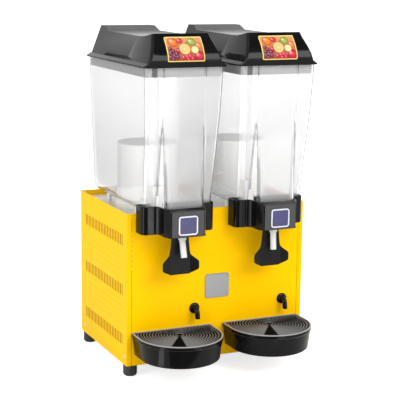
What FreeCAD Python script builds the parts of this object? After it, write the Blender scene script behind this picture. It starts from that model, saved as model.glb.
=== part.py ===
import FreeCAD, Part
import math
import os
import re
import Sketcher
from FreeCAD import Placement, Rotation, Vector

# Cold drink dispenser with two clear bowls on a chilled cabinet. Millimetres, +Z up.
# X runs across the front, to the right of someone who faces it, and Y runs from front to back.
# The origin lies on the worktop, under the middle of the whole machine, trays included.

doc = FreeCAD.newDocument("ColdDrinkDispenser")

# Driving sizes
SIZES = [
    # Cabinet
    ("body_width", 420, "cabinet over its side panels"),
    ("body_depth", 294, "cabinet from front face to rear face"),
    ("body_height", 332, "cabinet from underside to the top of its walls"),
    ("foot_height", 25, "worktop to cabinet underside"),
    ("sheet", 1.5, "thickness of the steel sheet"),
    ("fit_gap", 0.1, "clearance of a fixed piece in its seat"),
    ("run_gap", 0.4, "clearance beside a piece that moves"),
    ("deck_recess", 10, "top of the walls down to the deck"),
    ("return_width", 11, "side panel folded round the front and the rear"),
    ("seam_gap", 0.8, "shadow line beside the front panel"),
    ("slot_front", 26, "front face to the first cooling slot"),
    ("slot_low", 41.5, "underside to the lowest slot band"),
    ("slot_width", 4, "one slot, front to back"),
    ("slot_height", 24.5, "one slot, bottom to top"),
    ("slot_pitch", 9.95, "slot to slot"),
    ("slot_count", 24, "slots in a band"),
    ("band_pitch", 109, "slot band to slot band"),
    ("band_count", 3, "slot bands"),
    ("bead_front", 78, "front face to the first louvre's open end"),
    ("bead_low", 85.6, "underside to the lowest louvre row"),
    ("bead_length", 46, "pressed louvre, front to back"),
    ("bead_round", 2.6, "radius of the louvre's back"),
    ("bead_rise", 0.9, "louvre proud of the panel"),
    ("bead_hole", 1.75, "radius of the louvre's open end"),
    ("bead_pitch_y", 57.7, "louvre column to louvre column"),
    ("bead_pitch_z", 13.5, "louvre row to louvre row"),
    ("bead_columns", 4, "louvre columns"),
    ("bead_rows", 5, "louvre rows in a field"),
    ("field_pitch", 104.4, "lower louvre field to upper"),
    ("field_count", 2, "louvre fields"),
    ("screw_head", 4, "radius of a panel screw's head"),
    ("screw_rise", 1.6, "height of the head"),
    ("screw_shank", 2, "radius of the shank"),
    ("screw_length", 6, "length of the shank"),
    ("screw_front", 15, "front face to the front screws"),
    ("screw_back", 25, "rear face to the rear screws"),
    ("screw_low", 9, "underside to the screws"),
    ("pan_depth", 16, "height of the base pan's rim"),
    ("rear_slot_width", 34, "one slot of the rear grille"),
    ("rear_slot_height", 5, "height of that slot"),
    ("rear_slot_columns", 5, "slots side by side"),
    ("rear_slot_rows", 14, "slot rows"),
    ("rear_slot_pitch_x", 44, "slot to slot across"),
    ("rear_slot_pitch_z", 12, "slot to slot upwards"),
    ("rear_slot_low", 60, "underside to the lowest row"),
    ("rear_slot_side", 150, "middle of the machine to the first slot"),
    ("plaque_width", 57, "plain plaque on the front"),
    ("plaque_height", 54, "height of the plaque"),
    ("plaque_low", 132, "underside to the plaque's lower edge"),
    ("plaque_thick", 2, "thickness of the plaque"),
    ("plaque_corner", 5, "corner radius of the plaque"),
    # Controls at the rear
    ("control_x", 150, "middle of the machine to the controls"),
    ("rocker_z", 120, "underside to the power rocker"),
    ("rocker_width", 22, "rocker frame across"),
    ("rocker_height", 30, "rocker frame upwards"),
    ("rocker_border", 3, "border beside the rocker"),
    ("rocker_axis", 9, "rear face in to the rocker's axis"),
    ("rocker_face", 8, "rocker's axis out to its face"),
    ("rocker_round", 11.6, "radius of the rocker's body"),
    ("switch_wall", 1.5, "wall behind the rocker"),
    ("knob_z", 175, "underside to the thermostat shaft"),
    ("knob_radius", 14, "thermostat knob"),
    ("knob_depth", 9, "thermostat knob, front to back"),
    ("knob_dish", 18, "radius of the round recess behind the knob"),
    ("shaft_radius", 3, "thermostat shaft"),
    ("dish_depth", 12, "depth of that recess"),
    ("dish_wall", 2, "wall of that recess"),
    ("shaft_length", 10, "thermostat shaft behind its knob"),
    ("knob_rib", 3, "thickness of the knob's finger rib"),
    ("gland_z", 80, "underside to the cable gland"),
    ("gland_radius", 8, "cable gland"),
    ("gland_bore", 4, "radius of the gland's bore"),
    ("gland_length", 16, "gland through the rear panel"),
    # Feet
    ("foot_x", 195, "middle of the machine to the feet"),
    ("foot_front", 18, "front face to the front feet"),
    ("foot_back", 18, "rear face to the rear feet"),
    ("foot_radius", 15, "radius over the foot's lobes"),
    ("foot_notch", 3, "radius of the hollows between the lobes"),
    ("foot_lobes", 8, "hollows round a foot"),
    ("foot_pad", 12, "radius of the foot's sole"),
    ("foot_sole", 4, "height of the sole"),
    ("foot_stud", 4, "radius of the threaded stud"),
    ("stud_length", 20, "stud above the foot"),
    # Chilled parts on the deck
    ("bowl_pitch", 214, "bowl to bowl"),
    ("bowl_stand", 16, "deck to the underside of a bowl"),
    ("evaporator_radius", 66, "chilled drum"),
    ("evaporator_wall", 1.5, "its sheet"),
    ("evaporator_height", 140, "its height above the deck"),
    ("evaporator_crown", 7, "its chamfered upper edge"),
    ("evaporator_y", 138, "front face to the drum's axis"),
    ("seal_width", 6, "seal round the drum, in to out"),
    ("seal_lip", 3, "width of the seal's lip"),
    ("post_radius", 5, "bowl support post"),
    ("post_x", 60, "middle of a bowl to its posts"),
    ("post_front", 52, "front face to the front posts"),
    ("post_rear", 222, "front face to the rear posts"),
    # Pump drive
    ("pump_x", -38, "middle of a bowl to its pump"),
    ("pump_y", 26, "front face to the pump"),
    ("boss_radius", 20, "drive cap that stands up through the deck"),
    ("cup_wall", 1.5, "wall of that cap"),
    ("motor_can", 21, "pump motor"),
    ("motor_height", 55, "deck to the motor's lower end"),
    ("motor_flange", 23.5, "motor's flange under the deck"),
    ("flange_thick", 3, "thickness of that flange"),
    ("magnet_radius", 17, "drive magnet"),
    ("magnet_height", 8, "height of the magnet"),
    ("magnet_shaft", 2.5, "radius of the motor's shaft"),
    ("shaft_reach", 20, "shaft inside the motor"),
    ("bearing_gap", 0.05, "running clearance of a shaft"),
    ("house_radius", 22, "pump housing"),
    ("house_height", 14, "height of the housing"),
    ("house_wall", 2, "wall of the housing"),
    ("house_pin", 2, "radius of the impeller's pin"),
    ("impeller_radius", 17, "impeller"),
    ("impeller_disc", 2.5, "thickness of its disc"),
    ("impeller_height", 9, "height of its vanes"),
    ("impeller_hub", 5, "radius of its hub"),
    ("impeller_vane", 2, "thickness of a vane"),
    ("impeller_vanes", 6, "vanes"),
    ("block_side", 24, "pump outlet block, square in plan"),
    ("block_height", 48, "height of that block"),
    ("block_y", 0, "front face to the block's middle"),
    ("riser_radius", 5, "riser tube"),
    ("riser_bore", 3.5, "its bore"),
    ("riser_socket", 8, "riser inside its socket"),
    ("riser_top", 276, "bowl underside to the riser's top"),
    # Drains
    ("drain_x", 53.8, "middle of a bowl to its drain"),
    ("drain_z", 113.5, "underside to the drain's axis"),
    ("elbow_radius", 5.5, "drain elbow"),
    ("elbow_bore", 3.8, "its bore"),
    ("elbow_flange", 12, "radius of its flange"),
    ("elbow_flange_thick", 3, "thickness of its flange"),
    ("elbow_reach", 17, "front face to the elbow's drop"),
    ("elbow_drop", 22, "axis to the elbow's open end"),
    ("elbow_bend", 9, "radius of its bend"),
    ("elbow_tail", 12, "barb behind the front panel"),
    ("elbow_turn", 24, "degrees the drop leans to the right"),
    ("hose_radius", 7.5, "drain hose"),
    ("hose_bore", 5.6, "its bore"),
    ("hose_bend", 20, "radius of its bend"),
    ("sump_y", 38, "front face to the deck's drain hole"),
    # Bowls
    ("bowl_height", 302, "bowl's underside to its rim"),
    ("bowl_wall", 3, "wall of a bowl"),
    ("bowl_half", 88, "half width at the rim"),
    ("bowl_taper", 11, "half width lost from the rim to the heel"),
    ("bowl_front", 61, "rim ahead of the cabinet's front face"),
    ("bowl_back", 281, "rim behind the cabinet's front face"),
    ("bowl_corner", 12, "chamfer of the upright corners"),
    ("bowl_heel", 12, "radius of the lower edges"),
    ("bowl_lean", 4, "front wall's lean from the rim to the flutes"),
    ("flute_height", 203, "underside to the upper end of the flutes"),
    ("lobe_front", 31, "outer lobes ahead of the front face, at the heel"),
    ("nose_front", 66, "nose ahead of the front face, at the heel"),
    ("nose_half", 46, "half width of the nose"),
    ("nose_bevel", 7, "bevel at the nose's front corners"),
    ("lobe_bevel", 5, "bevel where a lobe turns into the nose"),
    # Taps
    ("piston_y", 54, "piston ahead of the front face"),
    ("piston_radius", 6.5, "piston tube"),
    ("piston_bore", 4.5, "its bore"),
    ("piston_tail", 52, "bowl's underside to the tube's open end"),
    ("piston_head", 8.5, "radius of the closing head"),
    ("piston_head_height", 3, "thickness of the head"),
    ("port_width", 4, "side ports under the head"),
    ("port_height", 5, "height of a port"),
    ("flange_drop", 33.7, "bowl's underside to the lifting flange"),
    ("flange_radius", 11, "lifting flange"),
    ("flange_height", 3, "thickness of the lifting flange"),
    ("neck_radius", 10.5, "bowl's neck round the piston"),
    ("neck_drop", 10, "length of that neck"),
    ("spring_radius", 8.6, "piston spring, to the wire's middle"),
    ("spring_wire", 0.6, "radius of the wire"),
    ("spring_turns", 6, "turns of the spring"),
    ("pivot_y", 72, "lever pin ahead of the front face"),
    ("pivot_drop", 36, "bowl's underside to the lever pin"),
    ("pin_radius", 2, "lever pin"),
    ("pin_half", 21, "half length of the lever pin"),
    ("ear_inner", 17, "middle to the collar's ears"),
    ("ear_thick", 4, "thickness of an ear"),
    ("ear_half", 6, "half depth of an ear"),
    ("arm_inner", 12.5, "middle to a lever arm"),
    ("arm_thick", 3, "thickness of a lever arm"),
    ("arm_half", 4, "half height of a lever arm"),
    ("peg_radius", 2, "pegs that lift the flange"),
    ("peg_inner", 8.5, "middle to a peg's tip"),
    ("paddle_y", 42.5, "paddle's middle ahead of the front face"),
    ("paddle_thick", 3, "thickness of the paddle"),
    ("neck_half", 19, "half width of the paddle's neck"),
    ("neck_low", 57, "bowl's underside to the neck's lower end"),
    ("paddle_half", 42, "half width of the paddle"),
    ("fork_low", 39, "bowl's underside to the fork between the arms"),
    ("paddle_shoulder", 106, "bowl's underside to its straight sides"),
    ("paddle_widest", 113, "bowl's underside to the widest part"),
    ("paddle_low", 134, "bowl's underside to the paddle's foot"),
    ("paddle_foot", 24, "half width of the foot"),
    ("wing_start", 23, "middle to the bent wings"),
    ("wing_reach", 7, "wing tips bent forward"),
    # Collars
    ("collar_half", 83, "half width of a collar"),
    ("collar_lobe", 36, "its lobes ahead of the front face"),
    ("collar_nose", 84, "its nose ahead of the front face"),
    ("collar_nose_half", 47, "half width of the nose"),
    ("collar_nose_step", 68, "nose's bevel starts ahead of the front face"),
    ("collar_nose_face", 39.5, "half width of the nose's face"),
    ("collar_top", 14, "bowl's underside to the collar's top"),
    ("collar_low", 46, "bowl's underside to the collar's lower edge"),
    ("collar_wall", 2.5, "wall of the collar"),
    ("collar_bevel", 6, "sloped upper edge of the nose"),
    ("collar_gap", 0.3, "collar round the bowl"),
    ("badge_half", 21.5, "half width of the badge"),
    ("badge_height", 40, "height of the badge"),
    ("badge_low", 41, "bowl's underside to the badge's lower edge"),
    ("badge_thick", 2, "thickness of the badge"),
    ("badge_corner", 6, "corner radius of the badge"),
    # Spouts
    ("spout_radius", 6.35, "silicone spout"),
    ("spout_bore", 4.4, "its bore"),
    ("spout_socket", 8.6, "socket round the piston"),
    ("socket_top", 41, "bowl's underside to the socket's top"),
    ("socket_low", 57, "bowl's underside to the socket's lower end"),
    ("spout_length", 38, "socket to the spout's open end"),
    ("spout_lean_left", 16, "degrees the left spout leans forward"),
    ("spout_lean_right", 4, "degrees the right spout leans forward"),
    # Lids
    ("lid_half", 92, "half width of a lid's rim"),
    ("lid_front", 66, "rim ahead of the front face"),
    ("lid_back", 285, "rim behind the front face"),
    ("lid_rim", 6, "height of the rim"),
    ("lid_wall", 2.5, "wall of a lid"),
    ("lid_skirt", 12, "skirt inside the bowl"),
    ("lid_skirt_wall", 2, "thickness of the skirt"),
    ("lid_flare", 16, "rim's underside to the top of the flare"),
    ("lid_flare_half", 83, "half width there"),
    ("lid_flat", 58.5, "rim's underside to the flat top"),
    ("lid_top_half", 66, "half width of the flat top"),
    ("lid_crest", 69, "rim's underside to the rear crest"),
    ("lid_crest_half", 62, "half width of the crest"),
    ("lid_crest_front", 245, "front face to the crest's front edge"),
    ("lid_crest_back", 278, "front face to the crest's rear edge"),
    ("lid_flat_front", 8, "front face to the flat's front end"),
    ("lid_flat_back", 225, "front face to the flat's rear end"),
    ("lid_brow", 67, "rim's underside to the front brow"),
    ("lid_brow_y", 38, "brow ahead of the front face"),
    ("lid_cheek", 56.6, "rim's underside to the face's upper bend"),
    ("lid_cheek_y", 43, "upper bend ahead of the front face"),
    ("lid_jaw", 42, "rim's underside to the face's middle bend"),
    ("lid_jaw_y", 55, "middle bend ahead of the front face"),
    ("lid_chin", 23.6, "rim's underside to the face's lower bend"),
    ("lid_chin_y", 65, "lower bend ahead of the front face"),
    ("grip_depth", 5, "finger recess along a lid's side"),
    ("grip_front", 43, "front face to the recess's front end"),
    ("grip_back", 250, "front face to the recess's rear end"),
    ("picture_half", 41, "half width of the picture"),
    ("picture_low", 12, "rim's underside to the picture's foot"),
    ("picture_thick", 1.5, "thickness of the picture plate"),
    # Drip trays
    ("tray_reach", 139, "front face to the front of a drip tray"),
    ("tray_half", 92.5, "half width of a tray"),
    ("tray_low", 24, "underside to a tray's floor"),
    ("tray_height", 50, "height of a tray"),
    ("tray_band", 9, "height of the rim band"),
    ("tray_proud", 1.2, "rim band proud of the wall"),
    ("tray_taper", 5, "wall drawn in at the floor"),
    ("tray_wall", 2.5, "wall of a tray"),
    ("ledge_drop", 5, "rim down to the grille's ledge"),
    ("ledge_width", 3, "width of that ledge"),
    ("grille_gap", 0.5, "grille inside the tray's rim"),
    ("grille_height", 3.5, "thickness of the grille"),
    ("grille_frame", 7, "width of the grille's border"),
    ("hub_radius", 11, "hub of the grille"),
    ("hub_hole", 5, "hole in the hub"),
    ("ring_first", 13.5, "inner radius of the first ring"),
    ("ring_pitch", 6.2, "ring to ring"),
    ("ring_width", 4.4, "width of a ring"),
    ("ring_fall", 1.9, "slope of a ring, inner edge to outer"),
    ("ring_thick", 1.2, "thickness of a ring"),
    ("ring_count", 12, "rings"),
    ("spoke_width", 3, "spokes under the rings"),
    ("spoke_height", 2, "height of a spoke"),
    ("spoke_count", 6, "spokes"),
    ("tongue_half", 30, "half width of a tray's bracket"),
    ("tongue_reach", 60, "bracket ahead of the front face"),
    ("tongue_thick", 3, "thickness of the bracket"),
    ("tongue_drop", 16, "height of its back plate"),
    # Cooling unit
    ("compressor_x", -100, "middle of the machine to the compressor"),
    ("compressor_y", 175, "front face to the compressor"),
    ("compressor_radius", 58, "compressor can"),
    ("compressor_height", 138, "height of the can"),
    ("compressor_crown", 22, "height of its domed top"),
    ("mount_width", 150, "compressor's base plate across"),
    ("mount_length", 110, "base plate, front to back"),
    ("mount_thick", 3, "thickness of the base plate"),
    ("mount_edge", 14, "edge of the plate to its grommets"),
    ("grommet_radius", 8, "rubber grommet"),
    ("grommet_height", 14, "height of a grommet"),
    ("condenser_x", 95, "middle of the machine to the condenser"),
    ("condenser_y", 216, "front face to the condenser"),
    ("condenser_width", 176, "condenser across"),
    ("condenser_length", 40, "condenser, front to back"),
    ("condenser_height", 176, "height of the condenser"),
    ("fin_pitch", 8, "fin to fin"),
    ("fin_gap", 6, "space between fins"),
    ("fin_tie", 3, "plates that tie the fins"),
    ("fan_z", 95, "underside to the fan's axis"),
    ("fan_radius", 74, "fan over its blades"),
    ("fan_hub", 16, "fan hub"),
    ("fan_depth", 12, "fan, front to back"),
    ("fan_space", 6, "fan to condenser"),
    ("fan_blades", 5, "blades"),
    ("blade_width", 34, "blade across its chord"),
    ("blade_thick", 1.6, "thickness of a blade"),
    ("blade_pitch", 24, "degrees a blade is set"),
    ("fan_motor_radius", 28, "fan motor"),
    ("fan_motor_length", 46, "fan motor, front to back"),
    ("fan_motor_gap", 6, "motor to fan"),
    ("stand_half", 18, "half width of the motor's stand"),
    ("pipe_radius", 4, "refrigerant pipe"),
    ("pipe_bend", 22, "radius of its bends"),
    ("pipe_level", 245, "underside to the level runs"),
    ("pipe_rise", 90, "deck to the pipe ends inside the drums"),
    ("pipe_inset", 30, "side of the condenser to the first pipe"),
]


# The sheet of sizes
sheet = doc.addObject("Spreadsheet::Sheet", "Sizes")
for row, (alias, value, words) in enumerate(SIZES, 1):
    sheet.set("A%d" % row, words)
    sheet.set("B%d" % row, str(value))
    sheet.setAlias("B%d" % row, alias)
doc.recompute()

NAMED = re.compile(r"\b(%s)\b" % "|".join(alias for alias, value, words in SIZES))
XY_PLANE = Rotation()
YZ_PLANE = Rotation(Vector(1, 1, 1), 120)
XZ_PLANE = Rotation(Vector(1, 0, 0), 90)
ALONG = {
    "z": Rotation(),
    "x": Rotation(Vector(0, 1, 0), 90),
    "y": Rotation(Vector(1, 0, 0), -90),
    "-y": Rotation(Vector(1, 0, 0), 90),
}

subparts = {}


def size(alias):
    """A named size as a number."""
    return float(sheet.get(alias))


def bind(thing, field, words):
    """Tie one property to an expression in the named sizes."""
    thing.setExpression(field, NAMED.sub(r"Sizes.\1", str(words)))


def place(thing, at, turn=XY_PLANE):
    """Turn a piece and tie its place to three expressions."""
    thing.Placement = Placement(Vector(), turn)
    for axis, words in zip("xyz", at):
        bind(thing, "Placement.Base." + axis, words)
    return thing


def box(name, extent, at):
    """A block from its low corner."""
    made = doc.addObject("Part::Box", name)
    for field, words in zip(("Length", "Width", "Height"), extent):
        bind(made, field, words)
    return place(made, at)


def slab(name, extent, at):
    """A block centred across X on its place."""
    return box(name, extent, ("%s - (%s) / 2" % (at[0], extent[0]), at[1], at[2]))


def cylinder(name, radius, length, at, along="z"):
    """A round bar from the middle of its first end."""
    made = doc.addObject("Part::Cylinder", name)
    bind(made, "Radius", radius)
    bind(made, "Height", length)
    return place(made, at, ALONG[along])


def cone(name, first, second, length, at, along="z"):
    """A round taper from the middle of its first end."""
    made = doc.addObject("Part::Cone", name)
    bind(made, "Radius1", first)
    bind(made, "Radius2", second)
    bind(made, "Height", length)
    return place(made, at, ALONG[along])


def ring(name, major, minor, at, along="z"):
    """A torus about its middle."""
    made = doc.addObject("Part::Torus", name)
    bind(made, "Radius1", major)
    bind(made, "Radius2", minor)
    return place(made, at, ALONG[along])


def outline(body, role, points):
    """A closed sketch whose corners are pairs of expressions."""
    sketch = body.newObject("Sketcher::SketchObject", body.Name + "_outline")
    plane = [item for item in body.Origin.OriginFeatures if item.Role == role][0]
    sketch.AttachmentSupport = [(plane, "")]
    sketch.MapMode = "FlatFace"
    count = len(points)
    rough = []
    for index in range(count):
        turn = 2 * math.pi * index / count
        rough.append(Vector(50 * math.cos(turn) + 100, 50 * math.sin(turn) + 100, 0))
    for index in range(count):
        sketch.addGeometry(Part.LineSegment(rough[index], rough[(index + 1) % count]), False)
    for index in range(count):
        sketch.addConstraint(Sketcher.Constraint("Coincident", index, 2, (index + 1) % count, 1))
    for index, corner in enumerate(points):
        for kind, start, words in zip(("DistanceX", "DistanceY"), (rough[index].x, rough[index].y), corner):
            place_of = sketch.addConstraint(Sketcher.Constraint(kind, -1, 1, index, 1, start))
            bind(sketch, "Constraints[%d]" % place_of, words)
    return sketch


def prism(name, points, length, at, turn=XY_PLANE):
    """An outline drawn out straight, square to its plane."""
    body = doc.addObject("PartDesign::Body", name)
    sketch = outline(body, "XY_Plane", points)
    pad = body.newObject("PartDesign::Pad", name + "_pad")
    pad.Profile = sketch
    bind(pad, "Length", length)
    return place(body, at, turn)


def turned(name, points, at, along="z"):
    """An outline of radius and height turned once about its axis."""
    body = doc.addObject("PartDesign::Body", name)
    sketch = outline(body, "XZ_Plane", points)
    turn = body.newObject("PartDesign::Revolution", name + "_turn")
    turn.Profile = sketch
    turn.ReferenceAxis = (sketch, ["V_Axis"])
    turn.Angle = 360
    return place(body, at, ALONG[along])


def cut(name, base, *tools):
    """The base less each tool in turn."""
    for index, tool in enumerate(tools):
        made = doc.addObject("Part::Cut", name if index == len(tools) - 1 else name + "_step")
        made.Base = base
        made.Tool = tool
        base = made
    return base


def fuse(name, *pieces):
    """Several shapes as one solid."""
    made = doc.addObject("Part::MultiFuse", name)
    made.Shapes = list(pieces)
    made.Refine = True
    return made


def common(name, *pieces):
    """What several shapes share."""
    made = doc.addObject("Part::MultiCommon", name)
    made.Shapes = list(pieces)
    return made


def group(name, pieces):
    """Separate solids that share one sub-part."""
    made = doc.addObject("Part::Compound", name)
    made.Links = list(pieces)
    return made


def grid(name, tool, *steps):
    """Copies of a tool at even steps, each step a direction, a pitch and a count."""
    doc.recompute()
    copies = [tool.Shape]
    for direction, pitch, count in steps:
        moves = [direction * (pitch * index) for index in range(int(count))]
        copies = [item.translated(move) for move in moves for item in copies]
    made = doc.addObject("Part::Feature", name)
    made.Shape = Part.makeCompound(copies)
    return made


def rounded(name, base, direction, radius):
    """A shape whose straight edges along one direction are rounded."""
    doc.recompute()
    made = doc.addObject("Part::Fillet", name)
    made.Base = base
    chosen = []
    for number, edge in enumerate(base.Shape.Edges, 1):
        run = edge.Vertexes[-1].Point - edge.Vertexes[0].Point
        if run.Length > 0 and run.cross(direction).Length < 1e-6 * run.Length:
            chosen.append((number, size(radius), size(radius)))
    made.Edges = chosen
    return made


def shaped(name, shape, at=("0", "0", "0")):
    """A shape worked out from the named sizes, tied to its place."""
    made = doc.addObject("Part::Feature", name)
    made.Shape = Part.makeCompound([shape])
    return place(made, at)


def keep(node, made):
    """Name a finished sub-part."""
    made.Label = node
    subparts[node] = made
    return made


# Places that many pieces share
FRONT = "((tray_reach - body_depth) / 2)"
BACK = "((tray_reach + body_depth) / 2)"
UNDER = "foot_height"
DECK = "(foot_height + body_height - deck_recess)"
BOWL_FLOOR = "(foot_height + body_height - deck_recess + bowl_stand)"
SIDES = {"left": "(-bowl_pitch / 2)", "right": "(bowl_pitch / 2)"}
X_STEP = Vector(1, 0, 0)
Y_STEP = Vector(0, 1, 0)
Z_STEP = Vector(0, 0, 1)


def back(words):
    """A place behind the cabinet's front face."""
    return "%s + %s" % (FRONT, words)


def ahead(words):
    """A place in front of the cabinet's front face."""
    return "%s - (%s)" % (FRONT, words)


def up(words):
    """A height over the cabinet's underside."""
    return "%s + %s" % (UNDER, words)


FEET = {
    "front_left": ("-foot_x", back("foot_front")),
    "front_right": ("foot_x", back("foot_front")),
    "rear_left": ("-foot_x", BACK + " - foot_back"),
    "rear_right": ("foot_x", BACK + " - foot_back"),
}


def side_panel(hand, side):
    """A folded steel side with three slot bands, two louvre fields and screw holes."""
    edge = "%d * body_width / 2" % side
    corners = [
        ("0", "0"),
        ("return_width", "0"),
        ("return_width", "sheet"),
        ("sheet", "sheet"),
        ("sheet", "body_depth - sheet"),
        ("return_width", "body_depth - sheet"),
        ("return_width", "body_depth"),
        ("0", "body_depth"),
    ]
    corners = [("%d * %s" % (-side, x), y) for x, y in corners]
    shell = prism("Side_shell_" + hand, corners, "body_height", (edge, FRONT, UNDER))

    through = "%s - 2 * sheet" % edge
    slot = box("Slot_" + hand, ("4 * sheet", "slot_width", "slot_height"),
               (through, back("slot_front"), up("slot_low")))
    slots = grid("Slots_" + hand, slot,
                 (Y_STEP, size("slot_pitch"), size("slot_count")),
                 (Z_STEP, size("band_pitch"), size("band_count")))
    round_back = cylinder("Louvre_back_" + hand, "bead_round", "bead_length",
                          ("%s + %d * (bead_rise - bead_round)" % (edge, side),
                           back("bead_front - bead_length"), up("bead_low")), "y")
    low_side = "-sheet / 2" if side > 0 else "-2 * bead_rise"
    trim = box("Louvre_trim_" + hand, ("sheet / 2 + 2 * bead_rise", "bead_length", "2 * bead_round"),
               ("%s + %s" % (edge, low_side), back("bead_front - bead_length"), up("bead_low - bead_round")))
    louvre = common("Louvre_" + hand, round_back, trim)
    field_steps = (
        (Y_STEP, size("bead_pitch_y"), size("bead_columns")),
        (Z_STEP, size("bead_pitch_z"), size("bead_rows")),
        (Z_STEP, size("field_pitch"), size("field_count")),
    )
    louvres = grid("Louvres_" + hand, louvre, *field_steps)
    end = cylinder("Louvre_end_" + hand, "bead_hole", "4 * sheet",
                   (through, back("bead_front"), up("bead_low")), "x")
    ends = grid("Louvre_ends_" + hand, end, *field_steps)
    holes = []
    for number, y in enumerate((back("screw_front"), "%s - screw_back" % BACK)):
        holes.append(cylinder("Screw_hole_%s_%d" % (hand, number), "screw_shank + fit_gap", "4 * sheet",
                              (through, y, up("2 * screw_low")), "x"))
    panel = fuse("Side_with_louvres_" + hand, shell, louvres)
    keep("side_panel_" + hand, cut("Side_panel_" + hand, panel, slots, ends, *holes))


side_panel("left", -1)
side_panel("right", 1)

# Front panel, set in between the folded edges, with a round hole for each drain
front_width = "(body_width - 2 * return_width - 2 * seam_gap)"
front_plate = slab("Front_plate", (front_width, "sheet", "body_height"), ("0", FRONT, UNDER))
drain_holes = []
for hand, middle in SIDES.items():
    drain_holes.append(cylinder("Drain_hole_" + hand, "elbow_radius + fit_gap", "4 * sheet",
                                ("%s + drain_x" % middle, back("-2 * sheet"), up("drain_z")), "y"))
keep("front_panel", cut("Front_panel", front_plate, *drain_holes))

# Rear panel, with a slotted grille and the seats of the controls
rear_plate = slab("Rear_plate", (front_width, "sheet", "body_height"), ("0", BACK + " - sheet", UNDER))
rear_slot = box("Rear_slot", ("rear_slot_width", "4 * sheet", "rear_slot_height"),
                ("-rear_slot_side", BACK + " - 2 * sheet", up("rear_slot_low")))
rear_slots = grid("Rear_slots", rear_slot,
                  (X_STEP, size("rear_slot_pitch_x"), size("rear_slot_columns")),
                  (Z_STEP, size("rear_slot_pitch_z"), size("rear_slot_rows")))
rocker_hole = slab("Rocker_hole", ("rocker_width + 2 * fit_gap", "4 * sheet", "rocker_height + 2 * fit_gap"),
                   ("control_x", BACK + " - 2 * sheet", up("rocker_z - rocker_height / 2 - fit_gap")))
knob_spot = ("control_x", BACK + " - 2 * sheet", up("knob_z"))
knob_hole = cylinder("Knob_hole", "knob_dish", "4 * sheet", knob_spot, "y")
gland_hole = cylinder("Gland_hole", "gland_radius + fit_gap", "4 * sheet",
                      ("control_x", BACK + " - 2 * sheet", up("gland_z")), "y")
keep("rear_panel", cut("Rear_panel", rear_plate, rear_slots, rocker_hole, knob_hole, gland_hole))

# Base pan with its rim, foot holes and a vent field
pan_width = "(body_width - 2 * sheet - 2 * fit_gap)"
pan_length = "(body_depth - 2 * sheet - 2 * fit_gap)"
pan_block = slab("Pan_block", (pan_width, pan_length, "pan_depth"), ("0", back("sheet + fit_gap"), UNDER))
pan_room = slab("Pan_room", (pan_width + " - 2 * sheet", pan_length + " - 2 * sheet", "pan_depth"),
                ("0", back("2 * sheet + fit_gap"), up("sheet")))
foot_holes = []
for name, (x, y) in FEET.items():
    foot_holes.append(cylinder("Foot_hole_" + name, "foot_stud + bearing_gap", "4 * sheet",
                               (x, y, up("-sheet")), "z"))
keep("base_pan", cut("Base_pan", pan_block, pan_room, *foot_holes))

# Deck under the bowls, with the evaporators' and pumps' openings and the drain holes
deck_corner = ("0", back("sheet + fit_gap"), DECK + " - sheet")
deck_block = slab("Deck_block", (pan_width, pan_length, "sheet"), deck_corner)
deck_holes = []
for hand, middle in SIDES.items():
    for name, radius, x, y in (("Evaporator", "evaporator_radius - evaporator_wall", "0", "evaporator_y"),
                               ("Pump", "boss_radius + fit_gap", "pump_x", "pump_y"),
                               ("Sump", "hose_bore", "drain_x", "sump_y")):
        deck_holes.append(cylinder("%s_hole_%s" % (name, hand), radius, "4 * sheet",
                                   ("%s + %s" % (middle, x), back(y), DECK + " - 2 * sheet")))
keep("deck", cut("Deck", deck_block, *deck_holes))

# Plain plaque on the front
plaque_block = slab("Plaque_block", ("plaque_width", "plaque_thick", "plaque_height"),
                    ("0", ahead("plaque_thick"), up("plaque_low")))
keep("front_plaque", rounded("Front_plaque", plaque_block, Y_STEP, "plaque_corner"))

# Button-head screws of the side panels and of the rear panel
screws = []
for side in (-1, 1):
    for number, y in enumerate((back("screw_front"), "%s - screw_back" % BACK)):
        head = cone("Screw_head_%d_%d" % (side, number), "screw_head", "screw_head / 2", "screw_rise",
                    ("%d * body_width / 2" % side, y, up("2 * screw_low")), "x")
        shank = cylinder("Screw_shank_%d_%d" % (side, number), "screw_shank", "screw_length",
                         ("%d * body_width / 2 - %s" % (side, "screw_length" if side > 0 else "0"), y,
                          up("2 * screw_low")), "x")
        if side < 0:
            head.Placement = Placement(Vector(), Rotation(Vector(0, 1, 0), -90))
        screws.append(fuse("Screw_%d_%d" % (side, number), head, shank))
keep("panel_screws", group("Panel_screws", screws))


def tube(points, bend, outer, inner=0):
    """A round tube along straight runs joined by tangent arcs."""
    edges = []
    start = points[0]
    for before, corner, after in zip(points, points[1:], points[2:]):
        come = (corner - before).normalize()
        go = (after - corner).normalize()
        half = come.getAngle(go) / 2
        reach = bend * math.tan(half)
        first = corner - come * reach
        last = corner + go * reach
        middle = corner + (go - come).normalize() * (bend / math.cos(half) - bend)
        edges.append(Part.LineSegment(start, first).toShape())
        edges.append(Part.Arc(first, middle, last).toShape())
        start = last
    edges.append(Part.LineSegment(start, points[-1]).toShape())
    path = Part.Wire(edges)

    def sweep(radius):
        rim = Part.Wire(Part.makeCircle(radius, points[0], (points[1] - points[0]).normalize()))
        return path.makePipeShell([rim], True, False)

    return sweep(outer).cut(sweep(inner)) if inner else sweep(outer)


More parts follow.
